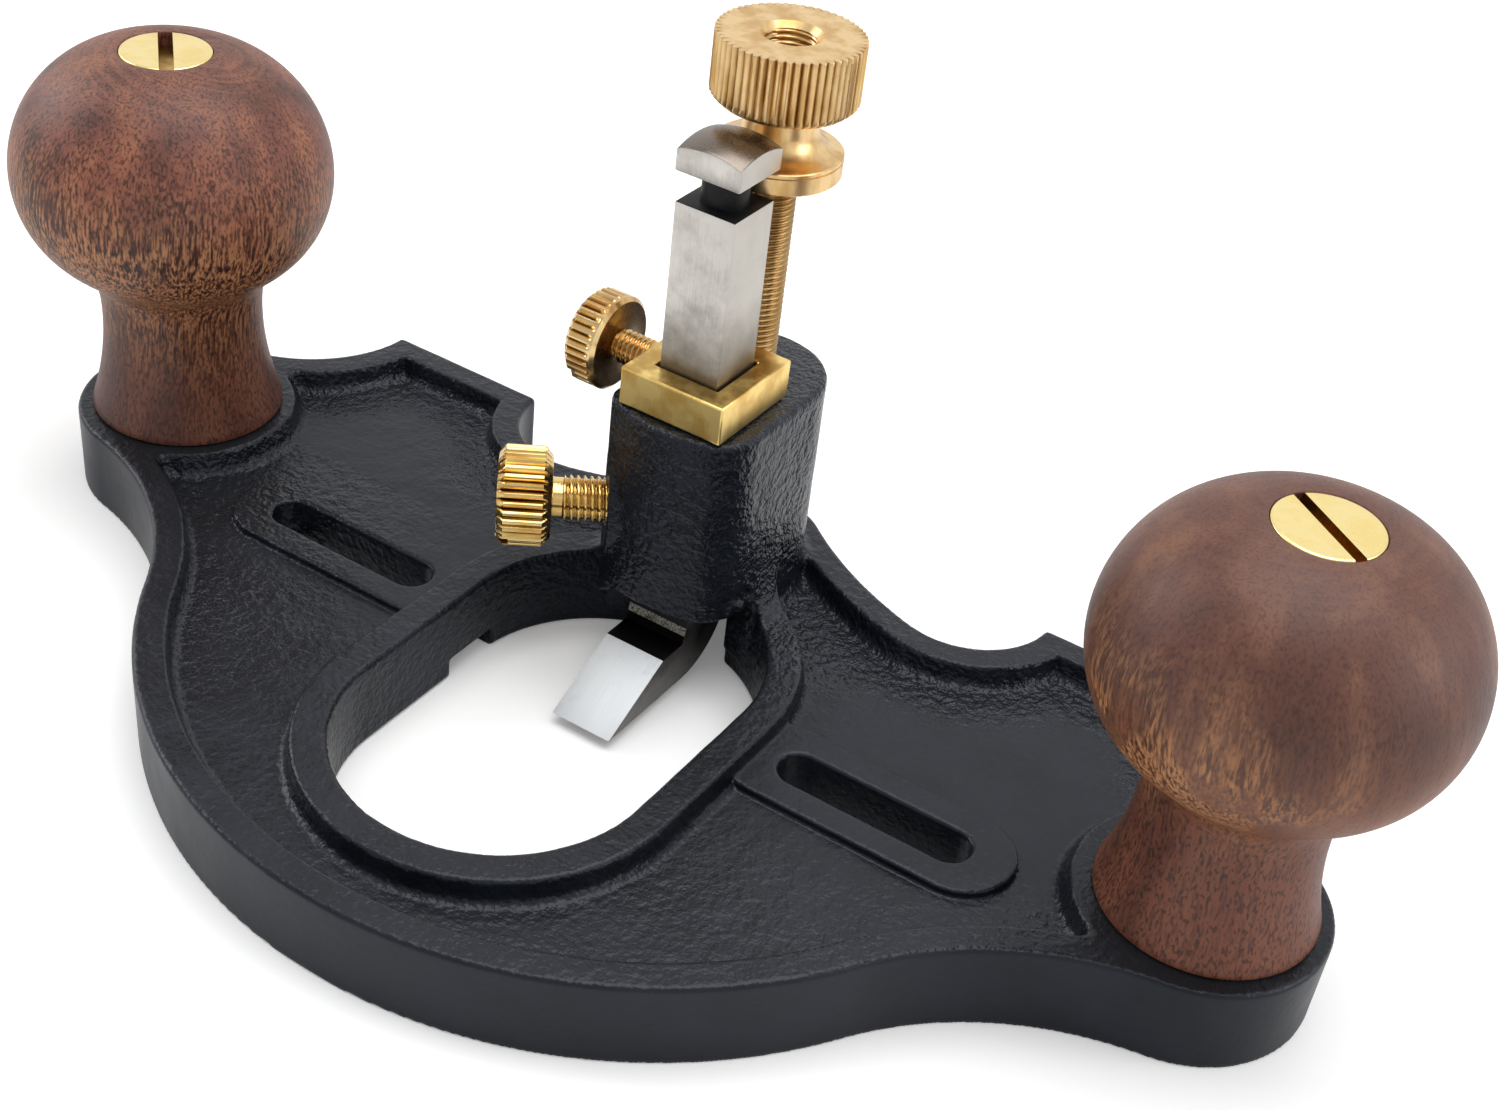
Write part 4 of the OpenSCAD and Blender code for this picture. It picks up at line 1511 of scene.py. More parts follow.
        # The sand also shows under the back rim, on slopes, on the post and beside its foot.
        cove = self.cove_grain * np.exp(-(((edge + 7.5) / 4.2) ** 2)) * np.clip((y + 20) / 20, 0, 1)
        fence = capsule(np.abs(x), y - self.slot_line, self.slot_in, self.slot_out, self.slot_r)
        slope = self.slope_grain * np.clip((0.99 - tilt) / 0.15, 0, 1) * (z < self.height) * (fence > 0.8)
        slope = slope * np.clip((y + 25) / 20, 0.2, 1)
        post = self.post_grain * (z > self.height + 1)
        grain = np.where(top, self.top_grain, floor + np.maximum(cove, slope) + post)
        grain = grain + self.hot_grain * blob((x, y, z), self.hot, self.hot_size)
        grain = np.where(wall, self.wall_grain, np.minimum(grain, self.most_grain))
        layer = mesh.attributes.new("grain", "FLOAT", "POINT")
        layer.data.foreach_set("value", grain.astype(np.float32))
        middles = np.empty(len(mesh.polygons) * 3, np.float32)
        mesh.polygons.foreach_get("center", middles)
        flat = (middles.reshape(-1, 3)[:, 2] / MM < 0.02).astype(np.int32)
        mesh.polygons.foreach_set("material_index", flat)


@dataclass
class Knob:
    """One turned knob, its slotted brass nut and the stud they are drawn down on."""

    side: Side
    x: float = KNOB_X
    foot_z: float = 12.0
    foot_r: float = 13.25
    foot_land: float = 0.8
    foot_round: Pair = (0.35, 0.3)
    waist_r: float = 10.9
    waist_z: float = 27.0
    middle_z: float = 48.0
    ball_r: float = 21.2
    side_r: float = 17.0
    under_r: float = 15.7
    throat_h: float = 4.5
    top_z: float = 64.7
    nut_r: float = 6.0
    nut_seat: float = 60.7
    barrel_r: float = 4.5
    barrel_z: float = 42.7
    stud_r: float = 3.0
    stud_top: float = 54.7
    slot_w: float = 1.9
    slot_d: float = 2.0
    slot_turn: float = 136.0
    fit: float = 0.06
    seat_gap: float = 0.02
    bore_gap: float = 0.3
    mouth: float = 0.12
    smoothing: int = 140

    def build_ball(self, wood: Material) -> Piece:
        """Turn the wooden knob.

        Args:
            wood: Finish of the knob.

        Returns:
            The knob in its place.
        """
        start_z = self.foot_z + self.foot_land
        rise, sag = self.waist_z - start_z, self.foot_r - self.waist_r
        cove_r = (rise * rise + sag * sag) / (2 * sag)
        cove_x = self.waist_r + cove_r
        top_x, under_x = self.ball_r - self.side_r, self.ball_r - self.under_r
        spread = math.asin(rise / cove_r)
        heights = np.linspace(self.waist_z, self.middle_z, 400)
        cove = cove_x - np.sqrt(np.maximum(cove_r**2 - (heights - self.waist_z) ** 2, 0))
        ball = under_x + np.sqrt(np.maximum(self.under_r**2 - (heights - self.middle_z) ** 2, 0))
        ball[self.middle_z - heights > self.under_r] = 0
        meet_z = float(heights[np.argmax(ball >= cove)])
        last = math.asin((meet_z - self.waist_z) / cove_r)
        first = math.degrees(math.asin((meet_z - self.middle_z) / self.under_r))
        crown = math.degrees(math.asin((self.top_z - self.middle_z) / self.side_r))
        shape = Profile()
        seat_z = self.foot_z + self.seat_gap
        shape.go(self.stud_r + self.bore_gap, seat_z).go(self.foot_r - self.foot_round[0], seat_z)
        shape.go(self.foot_r, self.foot_z + self.foot_round[1])
        low = np.linspace(-spread, last, 60)
        high = np.radians(np.linspace(first, 0.0, 60))
        stem = (cove_x - cove_r * np.cos(low), self.waist_z + cove_r * np.sin(low))
        under = (under_x + self.under_r * np.cos(high), self.middle_z + self.under_r * np.sin(high))
        path = np.concatenate((np.stack(stem, axis=1), np.stack(under, axis=1)))
        length = np.concatenate(([0], np.cumsum(np.hypot(*np.diff(path, axis=0).T))))
        even = np.linspace(0, length[-1], int(length[-1] / 0.3))
        path = np.stack([np.interp(even, length, path[:, i]) for i in (0, 1)], axis=1)
        near = np.exp(-(((path[:, 1] - meet_z) / self.throat_h) ** 2))[1:-1, None] * 0.5
        # The corner where the stem meets the ball is eased into a fillet.
        for _ in range(self.smoothing):
            path[1:-1] += near * ((path[:-2] + path[2:]) / 2 - path[1:-1])
        for radius, height in path[::2]:
            shape.go(float(radius), float(height))
        shape.bend((top_x, self.middle_z), self.side_r, 3.0, crown, 34)
        recess_r, sleeve_r = self.nut_r + self.fit, self.barrel_r + self.fit
        sleeve_z = self.barrel_z - self.bore_gap
        shape.go(recess_r + self.mouth, self.top_z)
        shape.go(recess_r, self.top_z - self.mouth).go(recess_r, self.nut_seat)
        shape.go(sleeve_r, self.nut_seat).go(sleeve_r, sleeve_z)
        shape.go(self.stud_r + self.bore_gap, sleeve_z)
        ball_piece = shape.spin(f"knob_{self.side.name.lower()}_turned", 128, (wood,), 40.0)
        put(ball_piece, (self.side.value * self.x, 0.0, 0.0))
        return ball_piece

    def build_nut(self, brass: Material, tarnish_and_shade: Material) -> Piece:
        """Turn the brass nut and saw its slot.

        Args:
            brass: Finish of the nut.
            tarnish_and_shade: Finish inside the slot.

        Returns:
            The nut in its place.
        """
        bore, bore_top = self.stud_r + self.fit / 2, self.stud_top + 0.5
        seat_z = self.nut_seat + self.seat_gap
        shape = Profile().go(0.0, bore_top).go(bore, bore_top)
        shape.go(bore, self.barrel_z).go(self.barrel_r, self.barrel_z).go(self.barrel_r, seat_z)
        shape.go(self.nut_r, seat_z).go(self.nut_r, self.top_z - 0.2)
        shape.go(self.nut_r - 0.06, self.top_z - 0.08).go(self.nut_r - 0.2, self.top_z)
        shape.go(self.nut_r - 0.5, self.top_z).go(0.0, self.top_z)
        nut = shape.spin(f"knob_nut_{self.side.name.lower()}_slotted", 96, (brass, tarnish_and_shade), 30.0)
        saw_slot(nut, 8.0, self.slot_w, self.top_z - self.slot_d, self.top_z, self.slot_turn)
        put(nut, (self.side.value * self.x, 0.0, 0.0))
        return nut

    def dress(self, stud_steel: Material) -> None:
        """Build the knob's pieces and hand them to the frame.

        Args:
            stud_steel: Finish of the stud inside.
        """
        name = self.side.name.lower()
        wood = OiledSapele(self.side)
        if self.side is Side.RIGHT:
            bands = ((13.0, "#794633"), (21.0, "#704131"), (30.0, "#7a4930"), (36.0, "#7c4a31"),
                     (46.0, "#583830"), (60.0, "#6f473a"))
            # one_side holds the right knob's fibres mostly to the side the lamp catches, a painted highlight.
            wood = OiledSapele(self.side, bands, "#4c3029", "#8a6049", "#c68c58", paw_mm=5.5, paw_low=0.47,
                               paw_high=0.56, speckle=0.45, one_side=0.15, veil=0.2, char=0.75,
                               fibre_from=29.0, banding=0.55)
        enlist(self.build_ball(wood.build()), "base", f"{name}_knob")
        spot = (self.side.value * self.x, KNOB_LINE, 0.0)
        brass = TurnedBrass(f"knob_nut_{name}", spot, colour="#f9e3a0", dull="#f3d98f", gloss_low=0.22,
                            gloss_high=0.3, ring_depth=0.05)
        # The slot takes a darker brass, partly patina and partly painted shade.
        tarnish_and_shade = TurnedBrass(f"knob_nut_{name}_slot", spot, colour="#c9a055", dull="#8f6a2c")
        enlist(self.build_nut(brass.build(), tarnish_and_shade.build()), "base", f"{name}_knob_nut")
        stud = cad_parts[f"{name}_knob_stud"]
        stud.data.materials.clear()
        stud.data.materials.append(stud_steel)


@dataclass
class DepthFeed:
    """The threaded rod in the post and the knurled nut that runs on it."""

    rod_r: float = 3.0
    rod_foot: float = 23.75
    rod_top: float = 80.0
    thread_from: float = 40.2
    pitch: float = 0.75
    thread_depth: float = 0.36
    flange_r: float = 8.05
    flange_low: float = 68.7
    flange_high: float = 71.6
    neck_r: float = 4.6
    head_low: float = 77.5
    head_high: float = 85.7
    head_r: float = 9.05
    bore_r: float = 3.06
    tapped: float = 6.0
    tap_depth: float = 0.3
    ribs: int = 54
    rib_depth: float = 0.45
    groove: float = 0.8
    rows: int = 8

    def build_rod(self, brass: Material) -> Piece:
        """Turn and thread the rod.

        Args:
            brass: Finish of the rod.

        Returns:
            The rod in its place.
        """
        steps = int((self.rod_top - 0.6 - self.thread_from) / self.pitch * self.rows)
        plain_r = self.rod_r - 0.3
        shape = Profile()
        shape.go(0.0, self.rod_foot).go(plain_r, self.rod_foot).go(plain_r, self.thread_from - 0.2)
        shape.go(self.rod_r - 0.1, self.thread_from, thread=1.0)
        shape.run(self.rod_r - 0.02, self.thread_from + 0.2, 2, thread=1.0)
        shape.run(self.rod_r - 0.02, self.rod_top - 0.6, steps, thread=1.0)
        shape.go(self.rod_r - 0.5, self.rod_top - 0.1).go(self.rod_r - 0.6, self.rod_top)
        shape.go(0.0, self.rod_top)
        rod = shape.spin("rod_threaded", 40, (brass,))
        Marks(self.rod_r, pitch=self.pitch, thread_depth=self.thread_depth).cut(rod, brass)
        rod.data.set_sharp_from_angle(angle=math.radians(60))
        put(rod, (0.0, ROD_LINE, 0.0))
        return rod

    def build_nut(self, brass: Material) -> Piece:
        """Turn, knurl and tap the depth nut.

        Args:
            brass: Finish of the nut.

        Returns:
            The nut in its place.
        """
        cove = self.flange_r - self.neck_r - 0.35
        tapped = self.head_high - self.tapped
        shape = Profile()
        shape.go(self.bore_r + 0.35, self.flange_low).go(self.flange_r - 0.25, self.flange_low)
        shape.go(self.flange_r, self.flange_low + 0.25).go(self.flange_r, self.flange_high - 0.7)
        line_r, land_r = self.flange_r - 0.18, self.flange_r - 0.02
        shape.go(line_r, self.flange_high - 0.62).go(line_r, self.flange_high - 0.5)
        shape.go(land_r, self.flange_high - 0.42).go(land_r, self.flange_high - 0.12)
        shape.go(self.flange_r - 0.15, self.flange_high)
        shape.bend((self.neck_r + cove, self.flange_high + cove + 0.05), cove, -90.0, -180.0, 16)
        shape.go(self.neck_r, self.head_low - 0.5).go(self.neck_r + 0.15, self.head_low - 0.12)
        shape.go(self.neck_r + 0.5, self.head_low).go(self.head_r - 0.9, self.head_low, 1.0)
        shape.run(self.head_r, self.head_low + 0.8, 3, 1.0).run(self.head_r, self.head_high - 0.06, 12, 1.0)
        shape.go(self.head_r - 0.06, self.head_high, 1.0).go(self.head_r - 1.3, self.head_high)
        shape.go(self.bore_r + 0.75, self.head_high).go(self.bore_r + 0.05, self.head_high - 0.7)
        steps = int((self.head_high - 0.8 - tapped) / self.pitch * self.rows)
        shape.go(self.bore_r, self.head_high - 0.8, thread=-1.0).run(self.bore_r, tapped, steps, thread=-1.0)
        shape.go(self.bore_r + 0.35, tapped - 0.2)
        nut = shape.spin("nut_knurled", self.ribs * 6, (brass,))
        marks = Marks(self.head_r, self.ribs, self.rib_depth, self.groove, self.pitch, self.tap_depth)
        marks.cut(nut, brass)
        nut.data.set_sharp_from_angle(angle=math.radians(38))
        put(nut, (0.0, ROD_LINE, 0.0))
        return nut

    def dress(self) -> None:
        """Build the rod and the nut and hand them to the frame."""
        spot = (0.0, KNOB_LINE + ROD_LINE, 0.0)
        rod_brass = TurnedBrass("rod", spot, colour="#b39363", dull="#95764a", darkening=0.85)
        nut_brass = TurnedBrass("depth_nut", spot, colour="#eac993", dull="#d0a86c", darkening=0.85,
                                gloss_low=0.26, gloss_high=0.36, ring_depth=0.3)
        enlist(self.build_rod(rod_brass.build()), "base", "adjuster_rod")
        enlist(self.build_nut(nut_brass.build()), "nut", "depth_nut")


@dataclass
class Cutter:
    """The cutter: square shank, grooved head with a crowned cap, and the foot
    that carries the cutting edge."""

    shank_w: float = 8.5
    shank_top: float = 68.4
    neck_r: float = 2.9
    cap_w: float = 9.0
    cap_low: float = 72.3
    cap_high: float = 76.6
    dome_r: float = 13.5
    foot_w: float = 9.1
    foot_step: float = 11.5
    foot_top: float = 7.8
    foot_flat: float = 4.5
    flat_gap: float = 2.0
    step: Pair = (0.5, 2.3)
    shoulder: Pair = (0.75, 0.3)
    reach: float = 22.3
    edge_z: float = 1.6
    heel_steps: int = 12
    foot_round: float = 0.12
    edge_round: float = 0.22
    overlap: float = 0.6

    def build(self, finishes: Sequence[Material]) -> Piece:
        """Build the cutter from its foot, shank, neck and cap.

        Args:
            finishes: The cutter's finishes, in the order of Patch.

        Returns:
            The cutter in its place.
        """
        half, back = self.foot_w / 2, self.shank_w / 2
        heel = self.foot_step - self.edge_z
        flat_back = -back - self.flat_gap
        outline = [(-self.reach, self.edge_z), (back - heel, self.edge_z)]
        for i in range(1, self.heel_steps + 1):
            angle = math.radians(-90 + 90 * i / self.heel_steps)
            outline.append((back - heel + heel * math.cos(angle), self.foot_step + heel * math.sin(angle)))
        step_x, step_z = self.step
        outline += [(-back, self.foot_step),
                    (flat_back + self.shoulder[0], self.foot_step - self.shoulder[1]),
                    (flat_back + step_x, self.foot_top + step_z),
                    (flat_back + step_x / 2, self.foot_top + step_z / 2), (flat_back, self.foot_top),
                    (flat_back - self.foot_flat, self.foot_top)]
        count = len(outline)
        points = [(x, y, z) for x in (-half, half) for y, z in outline]
        faces: list[list[int]] = [list(range(count))[::-1], list(range(count, 2 * count))]
        # Counted from its end, the outline runs back from the bevel to the shoulder.
        ends = (Patch.BEVEL, Patch.FLAT, Patch.FLAT, Patch.STEP, Patch.SHOULDER, Patch.SHOULDER)
        # The step's top and upper slant, in the post's shadow, take the shoulder's black: partly black oxide,
        # partly painted shade.
        patches = [Patch.SIDES] * (2 + count - len(ends)) + list(ends[::-1])
        for i in range(count):
            j = (i + 1) % count
            faces.append([i, j, count + j, count + i])
        foot = make_piece("cutter_ground", np.array(points), faces, finishes, 30.0)
        foot.data.polygons.foreach_set("material_index", [patch.value for patch in patches])
        soften(foot, self.foot_round)
        shank = box("shank", (-back, -back, self.foot_step - self.overlap), (back, back, self.shank_top))
        for finish in finishes:
            shank.data.materials.append(finish)
        for face in shank.data.polygons:
            face.material_index = (Patch.SHOULDER if face.normal.z > 0.5 else Patch.SHANK).value
        soften(shank, self.edge_round)
        combine(foot, shank, Joining.WELD)
        stem = Profile().go(0.0, self.shank_top - 1).go(self.neck_r, self.shank_top - 1)
        stem.go(self.neck_r, self.cap_low + 0.5).go(0.0, self.cap_low + 0.5)
        neck = stem.spin("neck", 40, finishes)
        neck.data.polygons.foreach_set("material_index", [Patch.SHOULDER.value] * len(neck.data.polygons))
        combine(foot, neck, Joining.WELD)
        combine(foot, self.cap(finishes), Joining.WELD)
        foot.data.set_sharp_from_angle(angle=math.radians(32))
        put(foot, (0.0, SHANK_LINE, 0.0))
        return foot

    def cap(self, finishes: Sequence[Material]) -> Piece:
        """Build the crowned cap.

        Args:
            finishes: The cutter's finishes, in the order of Patch.

        Returns:
            The cap, about the shank's axis.
        """
        steps = 20
        half = self.cap_w / 2
        ticks = np.linspace(-half, half, steps + 1)
        points = [(x, y, self.cap_high - self.dome_r + math.sqrt(self.dome_r**2 - x * x - y * y))
                  for x in ticks for y in ticks]
        number = np.arange((steps + 1) ** 2).reshape(steps + 1, steps + 1)
        faces = [[number[i, j], number[i + 1, j], number[i + 1, j + 1], number[i, j + 1]]
                 for i in range(steps) for j in range(steps)]
        rim = [*number[:-1, 0], *number[-1, :-1], *number[:0:-1, -1], *number[0, :0:-1]]
        first = len(points)
        points += [(points[i][0], points[i][1], self.cap_low) for i in rim]
        ring = len(rim)
        faces += [[rim[i], first + i, first + (i + 1) % ring, rim[(i + 1) % ring]] for i in range(ring)]
        faces.append(list(range(first, first + ring))[::-1])
        cap = make_piece("cap", np.array(points), faces, finishes, 30.0)
        for face in cap.data.polygons:
            face.material_index = (Patch.CROWN if face.normal.z > 0.7 else Patch.SHANK).value
        soften(cap, self.edge_round, angle=35.0)
        return cap

    def dress(self) -> None:
        """Build the cutter and hand it to the frame."""
        # The bevel is honed bright, the step's scale is chipped to the steel, the foot's sides are
        # dull, the crown's brown is a painted reflection of the depth nut, and the flat is black
        # oxide painted darker still as shade.
        finishes = {
            # The shank's +X face is painted darker as shade, and above the collar it takes a painted
            # reflection of the collar.
            Patch.SHANK: GroundSteel(shaded_side=(1.0, 0.0, 0.0), spread=(0.4, 0.74), reflection_top=57.0),
            Patch.SHOULDER: BlackOxide(),
            Patch.BEVEL: GroundSteel("honed_tool_steel", "#e0e3e5", "#d2d6d9", 0.2, (1.0, 0.04, 0.04),
                                     0.66, 0.76),
            Patch.STEP: BlackOxide("scaled_tool_steel", "#24211d", "#b9b4a8", 0.3, (0.38, 0.58)),
            Patch.SIDES: GroundSteel("dull_tool_steel", "#868380", "#5c5957", 0.25, (1.0, 0.1, 0.1),
                                     0.4, 0.55),
            # The crown's brown is a painted reflection of the depth nut.
            Patch.CROWN: GroundSteel("crown_steel_painted_reflection", "#7d736b", "#645950", 0.25, (1.0, 1.0, 0.2),
                                     0.24, 0.34),
            # The flat's black oxide is painted darker still, as shade.
            Patch.FLAT: BlackOxide("black_oxide_painted_shade", "#020202", "#09090a", sheen=0.1),
        }
        cutter = self.build([finishes[patch].build() for patch in Patch])
        enlist(cutter, "cutter", "blade")


@dataclass
class Thumbscrew:
    """A brass thumbscrew about its own axis: the tip at one end, the knurled
    and slotted head at the other."""

    name: str
    tip: float
    head: float
    head_l: float
    screw_r: float
    pitch: float
    ribs: int
    rib_depth: float
    groove: float
    plain: float
    relief: float
    inner: float
    outer: float
    head_r: float = 6.5
    slot_w: float = 1.5
    slot_d: float = 1.7
    slot_turn: float = 52.5
    thread_share: float = 0.46
    rows: int = 14
    undercut: float = 0.4
    run_out: float = 0.9

    def build(self, brass: Material, tarnish_and_shade: Material) -> Piece:
        """Turn, thread, knurl and slot the screw.

        Args:
            brass: Finish of the screw.
            tarnish_and_shade: Finish inside the slot.

        Returns:
            The screw along its own Z axis, with zero on the shank's axis.
        """
        depth = self.thread_share * self.pitch
        end = self.head + self.head_l
        thread_end = self.head - self.relief
        steps = int((thread_end - self.tip - 0.7) / self.pitch * self.rows)
        under_r = self.screw_r - self.undercut
        shape = Profile()
        shape.go(0.0, self.tip).go(self.screw_r - 0.6, self.tip).go(self.screw_r - 0.15, self.tip + 0.5)
        shape.go(self.screw_r - 0.02, self.tip + 0.7, thread=1.0)
        shape.run(self.screw_r - 0.02, thread_end, steps, thread=1.0)
        shape.go(under_r, thread_end + 0.15).go(under_r, self.head - 0.1)
        bite = 0.0 if self.plain else 1.0
        shape.go(self.screw_r - 0.2, self.head).go(self.head_r - self.inner - 0.06, self.head)
        shape.go(self.head_r - self.inner, self.head + 0.05)
        low, high = self.head + self.inner, end - self.outer
        shape.run(self.head_r, low, 5, bite)
        for i in range(1, 21):
            height = low + (high - low) * i / 20
            if self.plain:
                bite = math.sqrt(min(1.0, max(0.0, height - low - self.plain) / self.run_out))
            shape.go(self.head_r, height, bite)
        shape.run(self.head_r - self.outer, end - 0.05, 5, 1.0).go(self.head_r - self.outer - 0.1, end)
        shape.go(0.0, end)
        screw = shape.spin(self.name, self.ribs * 8, (brass, tarnish_and_shade))
        Marks(self.head_r, self.ribs, self.rib_depth, self.groove, self.pitch, depth).cut(screw, brass)
        screw.data.materials.append(tarnish_and_shade)
        saw_slot(screw, self.head_r + 1, self.slot_w, end - self.slot_d, end, self.slot_turn)
        # The face behind the head takes the slot's darker brass too, partly patina and partly painted shade.
        for face in screw.data.polygons:
            across = math.hypot(face.center.x, face.center.y) / MM
            if face.normal.z < -0.9 and across > self.screw_r:
                face.material_index = 1
        return screw


@dataclass
class DepthStop:
    """The brass collar that slides on the shank and its thumbscrew."""

    width: float = 15.0
    depth: float = 15.7
    low: float = 41.05
    height: float = 5.2
    hole: float = 9.3
    screw_r: float = 2.25
    fit: float = 0.06
    edge_round: float = 0.26

    def build_collar(self, brass: Material) -> Piece:
        """Mill the collar, with its square hole and its cross hole for the screw.

        Args:
            brass: Finish of the collar.

        Returns:
            The collar in its place.
        """
        x, y, inner = self.width / 2, self.depth / 2, self.hole / 2
        ring = [(a * x, b * y) for a, b in SQUARE] + [(a * inner, b * inner) for a, b in SQUARE]
        points = [(a, b, z) for z in (0.0, self.height) for a, b in ring]
        faces: list[list[int]] = []
        for i in range(4):
            j = (i + 1) % 4
            faces.append([i, j, 8 + j, 8 + i])
            faces.append([4 + j, 4 + i, 12 + i, 12 + j])
            faces.append([8 + i, 8 + j, 12 + j, 12 + i])
            faces.append([j, i, 4 + i, 4 + j])
        collar = make_piece("collar_milled", np.array(points), faces, (brass,), 30.0)
        soften(collar, self.edge_round)
        bore, reach = self.screw_r + self.fit, x + 2
        rod = Profile().go(0.0, 0.0).go(bore, 0.0).go(bore, reach).go(0.0, reach)
        drill = rod.spin("drill", 48, (brass,))
        middle = Matrix.Translation((0, 0, self.height / 2 * MM))
        drill.data.transform(middle @ Matrix.Rotation(-math.pi / 2, 4, "Y"))
        combine(collar, drill, Joining.CUT)
        collar.data.set_sharp_from_angle(angle=math.radians(20))
        put(collar, (0.0, SHANK_LINE, self.low))
        return collar

    def dress(self) -> None:
        """Build the collar and its screw and hand them to the frame."""
        enlist(self.build_collar(MilledBrass().build()), "collar", "depth_stop_collar")
        spot = (0.0, SHANK_LINE, self.low + self.height / 2)
        turn = (0.0, -math.pi / 2, 0.0)
        axis = (spot[0], spot[1] + KNOB_LINE, spot[2])
        brass = TurnedBrass("stop_screw", axis, turn, "#eccd94", "#c89d62", "#563a1a", 0.85,
                            gloss_low=0.15, gloss_high=0.26).build()
        # The slot and the face behind the head take a darker brass, partly patina and partly painted shade.
        tarnish_and_shade = TurnedBrass("stop_screw_slot", axis, turn, "#94754c", "#664f36").build()
        screw = Thumbscrew("stop_screw_knurled", tip=4.5, head=13.0, head_l=4.8, screw_r=self.screw_r,
                           pitch=0.75, ribs=32, rib_depth=0.55, groove=0.55, plain=0.35, relief=0.5,
                           inner=0.45, outer=0.8, head_r=6.2, slot_turn=53.0).build(brass, tarnish_and_shade)
        put(screw, spot, turn)
        enlist(screw, "stop_screw", "depth_stop_screw")


@dataclass
class BladeLock:
    """The thumbscrew through the post that locks the cutter's shank."""

    height: float = LOCK_Z
    turn: float = LOCK_TURN

    def dress(self) -> None:
        """Build the lock screw and hand it to the frame."""
        spot = (0.0, SHANK_LINE, self.height)
        turn = (0.0, -math.pi / 2, math.radians(self.turn))
        axis = (spot[0], spot[1] + KNOB_LINE, spot[2])
        brass = TurnedBrass("lock_screw", axis, turn, "#f0cf88", "#cfa55c", "#46290c", 1.0,
                            gloss_low=0.13, gloss_high=0.22).build()
        # The slot and the face behind the head take a darker brass, partly patina and partly painted shade.
        tarnish_and_shade = TurnedBrass("lock_screw_slot", axis, turn, "#c9a055", "#8f6a2c").build()
        screw = Thumbscrew("lock_screw_knurled", tip=6.17, head=18.11, head_l=7.0, screw_r=3.0, pitch=0.9,
                           ribs=32, rib_depth=0.72, groove=0.6, plain=0.0, relief=1.5, inner=1.1,
                           outer=0.95).build(brass, tarnish_and_shade)
        put(screw, spot, turn)
        enlist(screw, "lock_screw", "blade_lock_screw")


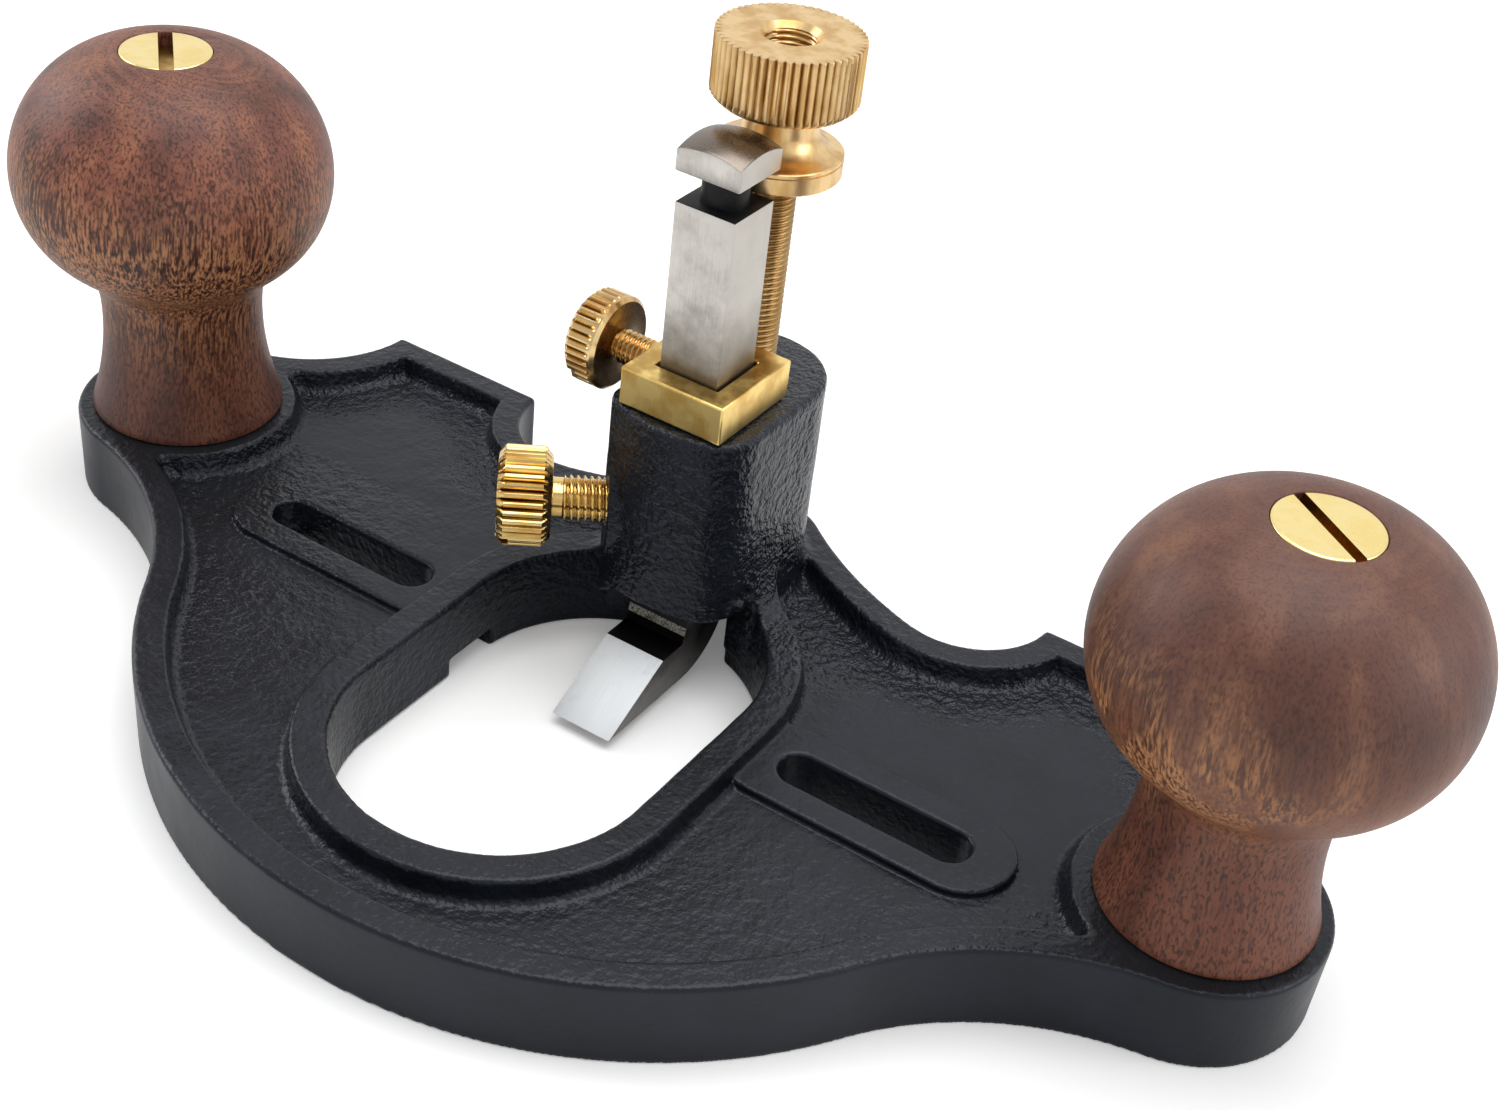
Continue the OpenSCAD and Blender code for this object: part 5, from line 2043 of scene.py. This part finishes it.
@dataclass
class Studio:
    """Pale floor, soft lights, white surroundings and the camera."""

    eye: Triple = (0.114244, -0.16923, 0.18029)
    turn: Triple = (52.2385, -5.7772, 33.0886)
    lens: float = 50.525
    shift: Pair = (0.01022, 0.04181)
    sensor: float = 36.0
    near: float = 0.01
    floor_half: float = 3.0
    floor_z: float = -2e-5
    dim_way: Triple = (-0.3, -0.95, 0.0)

    def build(self) -> None:
        """Set up everything round the object."""
        scene = bpy.context.scene
        scene.view_settings.view_transform = "Standard"
        self.add_camera(scene)
        self.add_floor()
        self.add_world(scene)
        self.add_light("softbox_above", (0.05, 0.1, 0.75), (0.0, 0.0, 0.02), 0.7, 4.2)
        self.add_light("softbox_left", (-0.7, -0.1, 0.4), (0.0, 0.0, 0.03), 0.45, 1.9)
        self.add_light("softbox_right", (0.65, 0.2, 0.35), (0.0, 0.0, 0.03), 0.45, 1.35)

    def add_camera(self, scene: bpy.types.Scene) -> None:
        """Stand the camera where the photograph was taken from.

        Args:
            scene: Scene that takes the camera.
        """
        data = bpy.data.cameras.new("camera")
        data.sensor_fit = "HORIZONTAL"
        data.sensor_width = self.sensor
        data.lens = self.lens
        data.shift_x, data.shift_y = self.shift
        data.clip_start = self.near
        camera = bpy.data.objects.new("camera", data)
        camera.location = self.eye
        camera.rotation_euler = [math.radians(angle) for angle in self.turn]
        scene.collection.objects.link(camera)
        scene.camera = camera

    def add_floor(self) -> None:
        """Lay a wide matt floor that shows white and keeps the shadow."""
        corners = [(a * self.floor_half, b * self.floor_half, self.floor_z) for a, b in SQUARE]
        mesh = bpy.data.meshes.new("floor")
        mesh.from_pydata(corners, [], [(0, 1, 2, 3)])
        material = bpy.data.materials.new("white_paper_sweep")
        material.use_nodes = True
        tree = material.node_tree
        tree.nodes.clear()
        path = add_node(tree, "ShaderNodeLightPath").outputs
        matt = add_node(tree, "ShaderNodeBsdfDiffuse", {"Color": linear("#f2f2f2")})
        white = add_node(tree, "ShaderNodeBsdfDiffuse", {"Color": WHITE})
        place = add_node(tree, COORDS).outputs["Object"]
        away = add_node(tree, VECTOR, {0: place}, operation="LENGTH").outputs["Value"]
        glow = add_node(tree, RANGE, {0: away, 1: 0.3, 2: 1.0, 3: 0.15, 4: 0.7}).outputs[0]
        lift = add_node(tree, "ShaderNodeEmission", {"Color": WHITE, "Strength": glow})
        shown = add_node(tree, "ShaderNodeAddShader", {0: white.outputs[0], 1: lift.outputs[0]})
        blend = add_node(tree, "ShaderNodeMixShader", {0: path["Is Camera Ray"], 1: matt.outputs[0],
                         2: shown.outputs[0]})
        add_node(tree, "ShaderNodeOutputMaterial", {"Surface": blend.outputs[0]})
        mesh.materials.append(material)
        floor = bpy.data.objects.new("floor", mesh)
        bpy.context.scene.collection.objects.link(floor)

    def add_world(self, scene: bpy.types.Scene) -> None:
        """Surround the object with soft fill that shows white to the camera.

        Args:
            scene: Scene that takes the world.
        """
        world = bpy.data.worlds.new("white_room")
        world.use_nodes = True
        tree = world.node_tree
        tree.nodes.clear()
        path = add_node(tree, "ShaderNodeLightPath").outputs
        clear = add_node(tree, MATH, {0: path["Is Camera Ray"], 1: path["Is Transmission Ray"]},
                         operation="MAXIMUM")
        way = add_node(tree, COORDS).outputs["Generated"]
        up = add_node(tree, SPLIT, {0: way}).outputs[2]
        front = add_node(tree, VECTOR, {0: way, 1: self.dim_way}, operation="DOT_PRODUCT")
        dim = add_node(tree, RANGE, {0: front.outputs["Value"], 1: 0.0, 2: 0.78, 3: 1.0, 4: 0.6})
        shade = add_node(tree, RAMP, {"Fac": up},
                         stops=((0.0, "#ffffff"), (0.55, "#ffffff"), (0.8, "#d0d0d0"), (0.95, "#ffffff")))
        mirrored = add_node(tree, "ShaderNodeBackground", {"Color": shade.outputs[0],
                            "Strength": dim.outputs[0]})
        fill = add_node(tree, "ShaderNodeBackground", {"Color": WHITE, "Strength": 0.5})
        white = add_node(tree, "ShaderNodeBackground", {"Color": WHITE, "Strength": 1.0})
        room = add_node(tree, "ShaderNodeMixShader", {0: path["Is Glossy Ray"], 1: fill.outputs[0],
                        2: mirrored.outputs[0]})
        blend = add_node(tree, "ShaderNodeMixShader", {0: clear.outputs[0], 1: room.outputs[0],
                         2: white.outputs[0]})
        add_node(tree, "ShaderNodeOutputWorld", {"Surface": blend.outputs[0]})
        scene.world = world

    def add_light(self, name: str, spot: Triple, aim: Triple, size: float, power: float) -> None:
        """Hang one square softbox.

        Args:
            name: Name of the light.
            spot: Its place in metres.
            aim: Point that it faces.
            size: Side of the square in metres.
            power: Power in watts.
        """
        data = bpy.data.lights.new(name, "AREA")
        data.size = size
        data.energy = power
        light = bpy.data.objects.new(name, data)
        light.location = spot
        light.rotation_euler = (Vector(aim) - Vector(spot)).to_track_quat("-Z", "Y").to_euler()
        bpy.context.scene.collection.objects.link(light)


def main() -> None:
    """Build the studio and every sub-assembly."""
    logging.basicConfig(level=logging.INFO, format="%(message)s")
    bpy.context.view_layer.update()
    Studio().build()
    casting = BaseCasting().build(CastEnamel().build(), GroundIron().build())
    enlist(casting, "base", "base_casting")
    stud_steel = GroundSteel("turned_stud_steel", "#a4a4a2", "#7d7d7b", 0.2, (1.0, 1.0, 0.2)).build()
    Knob(Side.LEFT).dress(stud_steel)
    Knob(Side.RIGHT, slot_w=1.4, slot_turn=142.7).dress(stud_steel)
    DepthFeed().dress()
    Cutter().dress()
    DepthStop().dress()
    BladeLock().dress()


if __name__ == "__main__":
    main()
